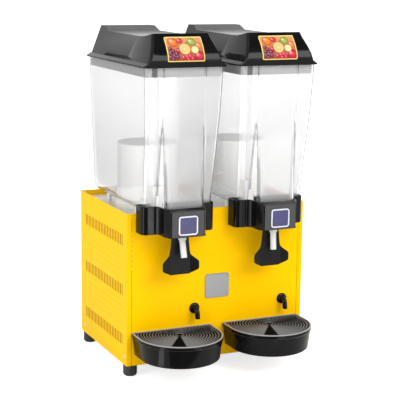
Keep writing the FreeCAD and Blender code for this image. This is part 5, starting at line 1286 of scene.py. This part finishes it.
def make_levers(sizes):
    """Paddles: a silhouette whose flanks bend forward and whose edges thin as a quarter ellipse, with two
    arms up to the pin."""
    levels = np.linspace(0, sizes.paddle_tall, 60)
    across = np.linspace(-1, 1, 41)
    x = paddle_widths(levels)[:, None] * across
    wing = (np.abs(x) - sizes.wing_start).clip(0) / (sizes.paddle_half - sizes.wing_start)
    y = sizes.paddle_y - sizes.wing_reach * wing
    from_edge = (np.abs(across) - sizes.edge_start).clip(0) / (1 - sizes.edge_start)
    thick = sizes.paddle_thick / 2 * (0.35 + 0.65 * np.sqrt(np.clip(1 - from_edge ** 2, 0, 1)))
    for side in SIDES:
        node = "lever_" + side
        centre, foot, top = middle(node)[0], low_corner(node)[2], high_corner(node)[2]
        z = foot + np.broadcast_to(levels[:, None], x.shape)
        front, rear = (np.stack([x + centre, y + face * thick, z], -1) for face in (-1, 1))
        shell = Shell().rings(np.concatenate([front, rear[:, ::-1]], 1), bottom=True, top=True)
        ahead, behind = sizes.pin_y - sizes.arm_ahead, sizes.paddle_y + sizes.paddle_thick / 2
        arm = rounded_path(np.array([(ahead, top - sizes.arm_deep), (behind, top - sizes.arm_deep),
                                     (behind, top - sizes.arm_fall), (ahead, top)]), sizes.arm_round, 6)
        for sign in (-1, 1):
            arm_x = centre + sign * sizes.arm_middle
            faces = [np.insert(arm, 0, arm_x + half, axis=1) for half in (-sizes.arm_half, sizes.arm_half)]
            shell.rings(np.array(faces), bottom=True, top=True)
        finish_piece(shell.make("black_lever_" + side), finish("black_satin"), node, replaced=(node,),
                     smooth=35)


# Printed plates on the lids

def softened(line, reach):
    """A running mean of a line, which goes on straight past its two ends."""
    before = line[0] + np.arange(-reach, 0) * (line[1] - line[0])
    after = line[-1] + np.arange(1, reach + 1) * (line[-1] - line[-2])
    window = 2 * reach + 1
    return np.convolve(np.concatenate([before, line, after]), np.ones(window) / window, "valid")


def make_pictures(sizes):
    """Printed plates: the lid's softened face carried across, lifted by the plate's thickness along its
    normal, with its ends drawn in as quarter circles. Each point keeps its place on the plate, in
    centimetres."""
    base = low_corner("lid_left")[2] + sizes.lid_skirt
    corner = sizes.print_corner
    for side in SIDES:
        node = "lid_picture_" + side
        low, high, centre = low_corner(node), high_corner(node), middle(node)[0]
        heights = np.linspace(low[2] - base, high[2] - base - 0.0006, 90)
        y = softened(lid_face(sizes, heights), 7)
        slope = np.gradient(y, heights)
        out = np.stack([-np.ones_like(slope), slope], -1) / np.sqrt(1 + slope ** 2)[:, None]
        length = np.concatenate([[0], np.cumsum(np.hypot(np.diff(y), np.diff(heights)))])
        from_end = np.minimum(length, length[-1] - length).clip(0, corner)
        width = (high[0] - low[0]) / 2 - corner + np.sqrt(corner ** 2 - (corner - from_end) ** 2)
        x = width[:, None] * np.linspace(-1, 1, 33) + centre
        line = np.stack([y, base + heights], -1)
        front, rear = (np.concatenate([x[..., None], np.broadcast_to(at[:, None], x.shape + (2,))], -1)
                       for at in (line + sizes.print_lift * out, line + [0.0002, 0]))
        shell = Shell().rings(np.concatenate([front, rear[:, ::-1]], 1), bottom=True, top=True)
        piece = shell.make("printed_plate_" + side, merge=1e-7)
        points = gathered(piece.data.vertices, "co")
        up = np.interp(points[:, 2] - base, heights, length)
        place = 100 * np.stack([points[:, 0] - centre, up, np.zeros(len(up))], -1)
        held = piece.data.attributes.new("print_place", "FLOAT_VECTOR", "POINT")
        held.data.foreach_set("vector", place.ravel().astype(np.float32))
        finish_piece(piece, finish("fruit_print"), "lid_" + side, replaced=(node,), smooth=40)


# Fittings and the finishes of the cabinet

CABINET = {
    "yellow_paint": ("side_panel_left", "side_panel_right", "front_panel", "rear_panel"),
    "brushed_steel": ("deck",),
    "zinc_sheet": ("base_pan", "tray_brackets"),
    "bright_steel": ("panel_screws", "lever_pin_left", "lever_pin_right"),
    "black_rubber": ("foot_front_left", "foot_front_right", "foot_rear_left", "foot_rear_right",
                     "compressor_grommets"),
    "black_grained": ("pump_motors", "fan_motor", "fan_blade", "thermostat_knob", "rear_fittings",
                      "power_rocker"),
    "black_enamel": ("compressor",),
    "copper_pipe": ("refrigerant_pipes",),
    "fin_sheet": ("condenser",),
    "ferrite": ("drive_magnet_left", "drive_magnet_right"),
    "white_plastic": ("support_posts", "pump_housing_left", "pump_housing_right", "impeller_left",
                      "impeller_right", "piston_left", "piston_right"),
    "clear_tube": ("riser_tube_left", "riser_tube_right"),
    "silicone": ("bowl_seals", "drain_hoses", "spout_left", "spout_right"),
    "grille_black": ("drip_grille_left", "drip_grille_right"),
}


def make_drums(sizes):
    """Chilled drums: a profile of radius and height with a tight round at its top, turned about each axis."""
    low, high = low_corner("evaporators"), high_corner("evaporators")
    radius, tall, edge = sizes.drum_radius, high[2] - low[2], sizes.drum_edge
    turn = np.linspace(0, math.pi / 2, 8)
    crown = np.stack([radius - edge + edge * np.cos(turn), tall - edge + edge * np.sin(turn)], -1)
    profile = np.concatenate([[(radius, 0.0)], crown, [(0.5 * radius, tall), (0.05 * radius, tall)]])
    shell = Shell()
    for side in SIDES:
        foot = (middle("bowl_" + side)[0], middle("evaporators")[1], low[2])
        shell.turned(profile, foot, steps=96, closed=False)
    finish_piece(shell.make("evaporator_drums"), finish("polished_drum"), "root", replaced=("evaporators",),
                 smooth=35)


def make_elbows(sizes):
    """Drain elbows: a domed flange, and a tube whose round section follows a bent line out of the panel and
    down, each ring square to the line."""
    node = "drain_elbows"
    low, high = low_corner(node), high_corner(node)
    flange, tube = sizes.elbow_flange, sizes.elbow_tube
    axis_z = high[2] - flange
    bend, reach, drop = sizes.elbow_bend, sizes.elbow_reach, sizes.elbow_drop
    turn = np.linspace(0, math.pi / 2, 10)
    line = np.concatenate([[(high[1] - sizes.front, 0.0), (0.0, 0.0)],
                           np.stack([bend - reach - bend * np.sin(turn), bend * np.cos(turn) - bend], -1),
                           [(-reach, -drop), (-reach, -drop), (-reach, sizes.elbow_bore_depth - drop)]])
    heading = np.concatenate([[(-1.0, 0.0)] * 2, np.stack([-np.cos(turn), -np.sin(turn)], -1),
                              [(0.0, -1.0)] * 3])
    in_panel, in_bore = 0.8, 0.68
    wide = np.full(len(line), tube)
    wide[0] *= in_panel
    wide[-2:] *= in_bore
    angle = np.linspace(0, 2 * math.pi, 32, endpoint=False)
    across, aside = wide[:, None] * np.cos(angle), wide[:, None] * np.sin(angle)
    lean = sizes.elbow_lean * np.clip(-line[:, 1:], 0, None)
    section = np.stack([across + lean, sizes.front + line[:, :1] - aside * heading[:, 1:],
                        axis_z + line[:, 1:] + aside * heading[:, :1]], -1)
    dome = [(0.98 * flange, 0.0), (flange, 0.0006), (flange, 0.0014), (0.93 * flange, 0.0024),
            (0.7 * flange, 0.0036), (1.05 * tube, 0.0044), (0.5 * tube, 0.0044)]
    first = low[0] + flange
    shell = Shell()
    for x in (first, first + middle("bowl_right")[0] - middle("bowl_left")[0]):
        shell.rings(section + [x, 0, 0], bottom=True, top=True)
        shell.turned(dome, (x, sizes.front, axis_z), axis=(0, -1, 0), closed=False)
    finish_piece(shell.make("black_drain_elbows"), finish("black_gloss"), "root", replaced=(node,),
                 smooth=40)


def make_springs(sizes):
    """Piston springs: a round wire whose middle climbs a helix, each ring of it square to the helix. A spring
    hangs from its bowl."""
    wire = sizes.spring_wire
    turn = np.linspace(0, 2 * math.pi * sizes.spring_turns, 28 * sizes.spring_turns + 1)[:, None]
    spoke = np.concatenate([np.cos(turn), np.sin(turn), 0 * turn], 1)
    angle = np.linspace(0, 2 * math.pi, 8, endpoint=False)[None, :, None]
    for side in SIDES:
        node = "piston_spring_" + side
        low, high = low_corner(node), high_corner(node)
        x, y = middle(node)[:2]
        tall = high[2] - low[2]
        line = ((high[0] - low[0]) / 2 - wire) * spoke + [x, y, low[2] + wire]
        line[:, 2:] += (tall - 2 * wire) * turn / turn[-1]
        heading = np.gradient(line, axis=0)
        heading /= np.linalg.norm(heading, axis=1)[:, None]
        across = np.cross(spoke, heading)
        rings = line[:, None] + wire * (np.cos(angle) * spoke[:, None] + np.sin(angle) * across[:, None])
        piece = Shell().rings(rings, bottom=True, top=True).make("wound_spring_" + side)
        finish_piece(piece, finish("bright_steel"), "bowl_" + side, replaced=(node,),
                     smooth=60)
        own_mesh(piece)


def dress_cabinet():
    """Give the nodes that stay as they are their finishes."""
    for name, nodes in CABINET.items():
        for node in nodes:
            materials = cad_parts[node].data.materials
            materials.clear()
            materials.append(finish(name))


# Properties

def length(name, value, words):
    """A length in metres."""
    return bpy.props.FloatProperty(name=name, description=words, default=value, unit="LENGTH", precision=4)


def number(name, value, words):
    """A plain number."""
    return bpy.props.FloatProperty(name=name, description=words, default=value)


def angle(name, value, words):
    """An angle in radians."""
    return bpy.props.FloatProperty(name=name, description=words, default=value, subtype="ANGLE", precision=4)


def colour(name, value, words):
    """A linear colour."""
    return bpy.props.FloatVectorProperty(name=name, description=words, default=value, size=3, subtype="COLOR",
                                         min=0.0, max=1.0)


class DispenserSizes(bpy.types.PropertyGroup):
    """Sizes of the modelled surfaces, in the frame of the machine."""
    bowl_rim: length("Bowl rim", 0.665, "Height of the bowls' rims")
    bowl_floor: length("Bowl floor", 0.363, "Height of the bowls' undersides")
    bowl_heel: length("Bowl heel", 0.012, "Radius of a bowl's lower edges")
    bowl_half: length("Bowl half width", 0.088, "Half width of a bowl at its rim")
    bowl_taper: length("Bowl taper", 0.011, "Half width that a bowl loses down to its heel")
    bowl_rear: length("Bowl rear", 0.2035, "Y of a bowl's rear face")
    bowl_front: length("Bowl front", -0.1385, "Y of a bowl's front face at the rim")
    bowl_lean: length("Bowl lean", 0.004, "Lean of the front face down to the flutes")
    bowl_wall: length("Bowl wall", 0.003, "Wall of a bowl")
    bowl_corner: length("Bowl corner", 0.008, "Reach of a bowl's upright corners")
    flute_top: length("Flute top", 0.566, "Height where the lobes and the nose part")
    lobe_front: length("Lobe front", -0.1085, "Y of the lobes at the heel")
    nose_front: length("Nose front", -0.1435, "Y of the nose at the heel")
    nose_half: length("Nose half width", 0.046, "Half width of the nose")
    nose_bevel: length("Nose bevel", 0.007, "Bevel at the nose's corners")
    skirt_show: length("Clear band", 0.0205, "Band under the rim that stays clear before the skirt")
    drum_hole: length("Drum hole", 0.0664, "Radius of the hole over the drum")
    neck_bore: length("Neck bore", 0.0069, "Bore of the piston's neck")
    neck_radius: length("Neck radius", 0.0105, "Radius of the piston's neck")
    neck_drop: length("Neck drop", 0.0098, "Length of the piston's neck")
    neck_gap: length("Neck gap", 0.0004, "Gap between the neck and the bowl's underside")
    lid_rim: length("Lid rim", 0.003, "Height of a lid's rim")
    lid_flare: length("Lid flare", 0.0085, "Rise from the rim's foot to the upper end of the flare")
    lid_chin: length("Lid chin", 0.0236, "Rise to the lower bend of the face")
    lid_jaw: length("Lid jaw", 0.042, "Rise to the middle bend of the face")
    lid_cheek: length("Lid cheek", 0.0566, "Rise to the upper bend of the face")
    lid_flat: length("Lid flat", 0.0585, "Rise to the flat top")
    lid_crest: length("Lid crest", 0.069, "Rise to the rear crest")
    chin_lean: length("Chin lean", 0.001, "Face drawn back at its lower bend")
    jaw_lean: length("Jaw lean", 0.011, "Face drawn back at its middle bend")
    cheek_lean: length("Cheek lean", 0.023, "Face drawn back at its upper bend")
    crest_lean: length("Crest lean", 0.029, "Face drawn back at the crest's height")
    lid_half: length("Lid half width", 0.092, "Half width of the rim")
    lid_flare_half: length("Flare half width", 0.083, "Half width over the flare")
    lid_top_half: length("Top half width", 0.066, "Half width of the flat top")
    lid_front: length("Lid front", -0.1435, "Y of the rim's front")
    lid_rear: length("Lid rear", 0.2075, "Y of the rim's rear")
    lid_rear_lean: length("Lid rear lean", 0.007, "Lean of the rear face")
    lid_corner: length("Lid corner", 0.006, "Reach of the hull's upright corners")
    cut_room: length("Cut room", 0.02, "What a cut takes past a lid's outside")
    brow_y: length("Brow", -0.1155, "Y of the front brow")
    brow_fall: length("Brow fall", 0.0015, "Drop of the brow under the crest")
    flat_front: length("Flat front", -0.0695, "Y of the flat top's front end")
    flat_rear: length("Flat rear", 0.1475, "Y of the flat top's rear end")
    crest_y: length("Crest", 0.1675, "Y of the crest's front edge")
    grip_depth: length("Grip depth", 0.004, "Depth of the grips in a lid's sides")
    grip_front: length("Grip front", -0.037, "Y of a grip's front end at its foot")
    grip_slant: length("Grip slant", -0.02, "Y that a grip's front end gains up to the flat top")
    grip_ramp: length("Grip ramp", 0.024, "Length of the ramp at a grip's front end")
    grip_rear: length("Grip rear", 0.23, "Y past which the grips run out")
    groove_front: length("Groove front", -0.062, "Y where the groove under a grip starts")
    groove_rear: length("Groove rear", 0.13, "Y where that groove ends")
    groove_height: length("Groove height", 0.008, "Height of that groove")
    groove_depth: length("Groove depth", 0.008, "Depth of that groove")
    lid_wall: length("Lid wall", 0.0025, "Wall of a lid")
    lid_skirt: length("Lid skirt", 0.012, "Rise from a lid's lowest point to its rim's foot")
    skirt_gap: length("Skirt gap", 0.0008, "Gap between the skirt and the bowl")
    skirt_drop: length("Skirt drop", 0.019, "Rim's foot down to the skirt's lower edge")
    skirt_wall: length("Skirt wall", 0.002, "Wall of the skirt")
    # The skirt's black block stands in for a dark reflection: painted reflection.
    reflection_tab_from_side: length("Tab place", 0.0115, "Skirt's left side to its tab")
    tab_width: length("Tab width", 0.012, "Width of the skirt's tab")
    collar_half: length("Collar half width", 0.083, "Half width of a collar")
    collar_lobe: length("Collar lobe", -0.1135, "Y of a collar's lobes")
    collar_flank: length("Collar flank", 0.047, "Half width of the collar's nose")
    collar_nose: length("Collar nose", -0.1615, "Y of the nose's face")
    collar_step: length("Collar step", -0.1455, "Y where the nose's bevel starts")
    collar_bevel: length("Collar bevel", 0.006, "Sloped upper edge of the nose")
    collar_wall: length("Collar wall", 0.0025, "Wall of a collar")
    collar_corner: length("Collar corner", 0.013, "Reach of a collar's lobe corners")
    collar_floor_rear: length("Collar floor rear", -0.1235, "Y of the rear edge of a collar's floor")
    socket_radius: length("Socket radius", 0.0086, "Radius of a spout's socket")
    ear_middle: length("Ear place", 0.019, "Middle to the lever's ears")
    ear_half: length("Ear half", 0.002, "Half thickness of an ear")
    ear_reach: length("Ear reach", 0.006, "Pin to an ear's front and rear edges")
    badge_border: length("Badge border", 0.0028, "Width of a badge's border")
    plaque_border: length("Plaque border", 0.0022, "Width of the plaque's bevelled border")
    pin_y: length("Pin", -0.1495, "Y of the lever's pin")
    front: length("Front face", -0.0775, "Y of the cabinet's front face")
    tray_band: length("Tray band", 0.009, "Height of a tray's rim band")
    tray_proud: length("Tray proud", 0.0012, "Rim band proud of the wall")
    tray_taper: length("Tray taper", 0.005, "Wall drawn in at the floor")
    tray_wall: length("Tray wall", 0.0025, "Wall of a tray")
    tray_ledge: length("Tray ledge", 0.005, "Rim down to the grille's ledge")
    wing_reach: length("Wing reach", 0.007, "Wing tips bent forward")
    wing_start: length("Wing start", 0.023, "Middle to the start of a wing")
    paddle_half: length("Paddle half width", 0.042, "Half width of a paddle")
    paddle_y: length("Paddle", -0.120, "Y of a paddle's middle")
    paddle_thick: length("Paddle thickness", 0.003, "Thickness of a paddle")
    paddle_tall: length("Paddle height", 0.094, "Height of a paddle up to its arms")
    edge_start: number("Edge start", 0.93, "Share of a paddle's half width that stays thick")
    arm_middle: length("Arm place", 0.014, "Middle to a lever's arm")
    arm_half: length("Arm half", 0.0015, "Half thickness of an arm")
    arm_ahead: length("Arm end", 0.0055, "Pin to an arm's front end")
    arm_deep: length("Arm depth", 0.0105, "Height of an arm")
    arm_fall: length("Arm fall", 0.0012, "Drop of an arm's upper edge towards the paddle")
    arm_round: length("Arm round", 0.003, "Reach of an arm's corners")
    print_lift: length("Plate lift", 0.0012, "Printed plate proud of its lid")
    print_corner: length("Plate corner", 0.003, "Radius of a printed plate's corners")
    drum_radius: length("Drum radius", 0.066, "Radius of the chilled drums")
    drum_edge: length("Drum edge", 0.0025, "Round at a drum's top")
    spring_wire: length("Spring wire", 0.0006, "Radius of a piston spring's wire")
    spring_turns: bpy.props.IntProperty(name="Spring turns", description="Turns of a spring", default=6,
                                        min=1)
    elbow_flange: length("Elbow flange", 0.012, "Radius of a drain elbow's flange")
    elbow_tube: length("Elbow tube", 0.0055, "Radius of its tube")
    elbow_bend: length("Elbow bend", 0.009, "Radius of its bend")
    elbow_reach: length("Elbow reach", 0.0155, "Front face to the tube's drop")
    elbow_drop: length("Elbow drop", 0.0205, "Axis to the tube's open end")
    elbow_bore_depth: length("Elbow bore", 0.006, "Depth of the tube's open end")
    elbow_lean: number("Elbow lean", 0.08, "Sideways share of the tube's drop")


class DispenserColours(bpy.types.PropertyGroup):
    """Colours of the finishes."""
    cabinet: colour("Cabinet", (1.0, 0.56, 0.0), "Paint of the cabinet")
    cabinet_deep: colour("Cabinet, deep", (0.98, 0.53, 0.0), "Deeper patches of the paint")
    steel: colour("Steel", (0.80, 0.80, 0.79), "Deck")
    drum: colour("Drums", (0.99, 0.985, 0.98), "Drums in the bowls")
    plaque: colour("Plaque", (0.33, 0.33, 0.335), "Plain plate on the front")
    gloss: colour("Black, glossy", (0.004, 0.004, 0.0044), "Lids, collars and drain elbows")
    matt: colour("Black, matt", (0.02, 0.02, 0.021), "Motors and rear fittings")
    grille: colour("Grilles", (0.003, 0.003, 0.003), "Grilles of the trays")
    tray: colour("Trays", (0.0055, 0.0055, 0.0058), "Walls of the trays")
    lever: colour("Levers", (0.007, 0.007, 0.0075), "Levers")
    # Paler than the gloss black: a painted sheen on the collars' front faces.
    face: colour("Collar face", (0.045, 0.045, 0.046), "Grained face of a collar's nose")
    # Painted highlight on the tops of the grilles' ribs.
    rib_highlight: colour("Grille ribs", (0.16, 0.16, 0.16), "Tops of the grilles' ribs")
    # Painted shade on the folds along the flutes.
    rim: colour("Tray rim", (0.3, 0.3, 0.3), "Rubbed rim of a tray")
    # The tray rim's colour is a painted highlight along the rim's top.
    fold_shade: colour("Flute folds", (0.5, 0.5, 0.51), "Folds along the flutes of a bowl")
    skirt: colour("Skirt", (0.32, 0.32, 0.32), "Skirt of a lid inside the bowl")
    clear: colour("Bowls", (0.905, 0.905, 0.905), "Clear plastic")
    # Painted shade at the foot of the bowls' fronts, standing for the collars' dark reflection.
    shaded: colour("Bowl fronts", (0.74, 0.735, 0.735), "Foot of the bowls' worn fronts")
    badge: colour("Badge", (0.028, 0.024, 0.135), "Field of a badge")
    border: colour("Badge border", (0.72, 0.73, 0.76), "Border of a badge")
    print_border: colour("Print border", (0.86, 0.72, 0.2), "Border of the printed plates")


class DispenserStudio(bpy.types.PropertyGroup):
    """The studio's light and its camera."""
    ambient: number("Ambient", 0.9, "Light from all round")
    floor_glow: number("Floor glow", 0.72, "Lift of the floor's shade")
    key: number("Key light", 41.0, "Soft box at the front, right, in watts")
    top: number("Top light", 26.0, "Soft box overhead, in watts")
    side: number("Side light", 23.0, "Soft box at the left, in watts")
    camera_place: bpy.props.FloatVectorProperty(name="Camera", description="Place of the camera", size=3,
                                                default=(-1.10286, -2.39329, 0.87134), subtype="TRANSLATION")
    camera_yaw: angle("Camera yaw", 0.42926, "Turn of the view from the rear towards the right")
    camera_pitch: angle("Camera pitch", 0.192018, "Downward tilt of the view")
    camera_roll: angle("Camera roll", 0.0135723, "Turn of the view about its own axis")
    camera_lens: number("Camera lens", 109.28, "Focal length in millimetres")


# Operators, one to each step

class DISPENSER_OT_bowls(bpy.types.Operator):
    """Make the clear bowls"""
    bl_idname = "dispenser.bowls"
    bl_label = "Bowls"

    def execute(self, context):
        make_bowls(context.scene.dispenser_sizes)
        return {"FINISHED"}


class DISPENSER_OT_lids(bpy.types.Operator):
    """Make the black lids with their skirts"""
    bl_idname = "dispenser.lids"
    bl_label = "Lids"

    def execute(self, context):
        make_lids(context.scene.dispenser_sizes)
        return {"FINISHED"}


class DISPENSER_OT_prints(bpy.types.Operator):
    """Make the printed plates on the lids"""
    bl_idname = "dispenser.prints"
    bl_label = "Printed plates"

    def execute(self, context):
        make_pictures(context.scene.dispenser_sizes)
        return {"FINISHED"}


class DISPENSER_OT_collars(bpy.types.Operator):
    """Make the collars round the bowls' feet"""
    bl_idname = "dispenser.collars"
    bl_label = "Collars"

    def execute(self, context):
        make_collars(context.scene.dispenser_sizes)
        return {"FINISHED"}


class DISPENSER_OT_plates(bpy.types.Operator):
    """Make the plain badges and the plaque"""
    bl_idname = "dispenser.plates"
    bl_label = "Badges and plaque"

    def execute(self, context):
        make_badges(context.scene.dispenser_sizes)
        make_plaque(context.scene.dispenser_sizes)
        return {"FINISHED"}


class DISPENSER_OT_levers(bpy.types.Operator):
    """Make the levers"""
    bl_idname = "dispenser.levers"
    bl_label = "Levers"

    def execute(self, context):
        make_levers(context.scene.dispenser_sizes)
        return {"FINISHED"}


class DISPENSER_OT_trays(bpy.types.Operator):
    """Make the drip trays"""
    bl_idname = "dispenser.trays"
    bl_label = "Drip trays"

    def execute(self, context):
        make_trays(context.scene.dispenser_sizes)
        return {"FINISHED"}


class DISPENSER_OT_fittings(bpy.types.Operator):
    """Make the chilled drums and the drain elbows"""
    bl_idname = "dispenser.fittings"
    bl_label = "Drums and drain elbows"

    def execute(self, context):
        make_drums(context.scene.dispenser_sizes)
        make_elbows(context.scene.dispenser_sizes)
        return {"FINISHED"}


class DISPENSER_OT_springs(bpy.types.Operator):
    """Make the piston springs"""
    bl_idname = "dispenser.springs"
    bl_label = "Piston springs"

    def execute(self, context):
        make_springs(context.scene.dispenser_sizes)
        return {"FINISHED"}


class DISPENSER_OT_cabinet(bpy.types.Operator):
    """Give the cabinet and its machinery their finishes"""
    bl_idname = "dispenser.cabinet"
    bl_label = "Cabinet finishes"

    def execute(self, context):
        dress_cabinet()
        return {"FINISHED"}


class DISPENSER_OT_studio(bpy.types.Operator):
    """Make the floor, the light and the camera"""
    bl_idname = "dispenser.studio"
    bl_label = "Studio"

    def execute(self, context):
        make_studio(context.scene.dispenser_studio)
        return {"FINISHED"}


class DISPENSER_PT_build(bpy.types.Panel):
    """Steps that build the dispenser"""
    bl_label = "Dispenser"
    bl_space_type = "VIEW_3D"
    bl_region_type = "UI"
    bl_category = "Dispenser"

    def draw(self, context):
        for step in STEPS:
            self.layout.operator(step.bl_idname)
        for group, holder in ((DispenserSizes, context.scene.dispenser_sizes),
                              (DispenserColours, context.scene.dispenser_colours),
                              (DispenserStudio, context.scene.dispenser_studio)):
            column = self.layout.column(align=True)
            for name in group.__annotations__:
                column.prop(holder, name)


GROUPS = (DispenserSizes, DispenserColours, DispenserStudio)
STEPS = (
    DISPENSER_OT_bowls, DISPENSER_OT_lids, DISPENSER_OT_prints, DISPENSER_OT_collars,
    DISPENSER_OT_plates, DISPENSER_OT_levers, DISPENSER_OT_trays, DISPENSER_OT_fittings,
    DISPENSER_OT_springs, DISPENSER_OT_cabinet, DISPENSER_OT_studio,
)


def register():
    """Register the properties, the steps and the panel."""
    for item in GROUPS + STEPS + (DISPENSER_PT_build,):
        bpy.utils.register_class(item)
    bpy.types.Scene.dispenser_sizes = bpy.props.PointerProperty(type=DispenserSizes)
    bpy.types.Scene.dispenser_colours = bpy.props.PointerProperty(type=DispenserColours)
    bpy.types.Scene.dispenser_studio = bpy.props.PointerProperty(type=DispenserStudio)


def unregister():
    """Take them out again."""
    del bpy.types.Scene.dispenser_studio
    del bpy.types.Scene.dispenser_colours
    del bpy.types.Scene.dispenser_sizes
    for item in reversed(GROUPS + STEPS + (DISPENSER_PT_build,)):
        bpy.utils.unregister_class(item)


def main():
    """Run the steps in order."""
    register()
    for step in STEPS:
        getattr(bpy.ops.dispenser, step.bl_idname.split(".")[1])()


if __name__ == "__main__":
    main()
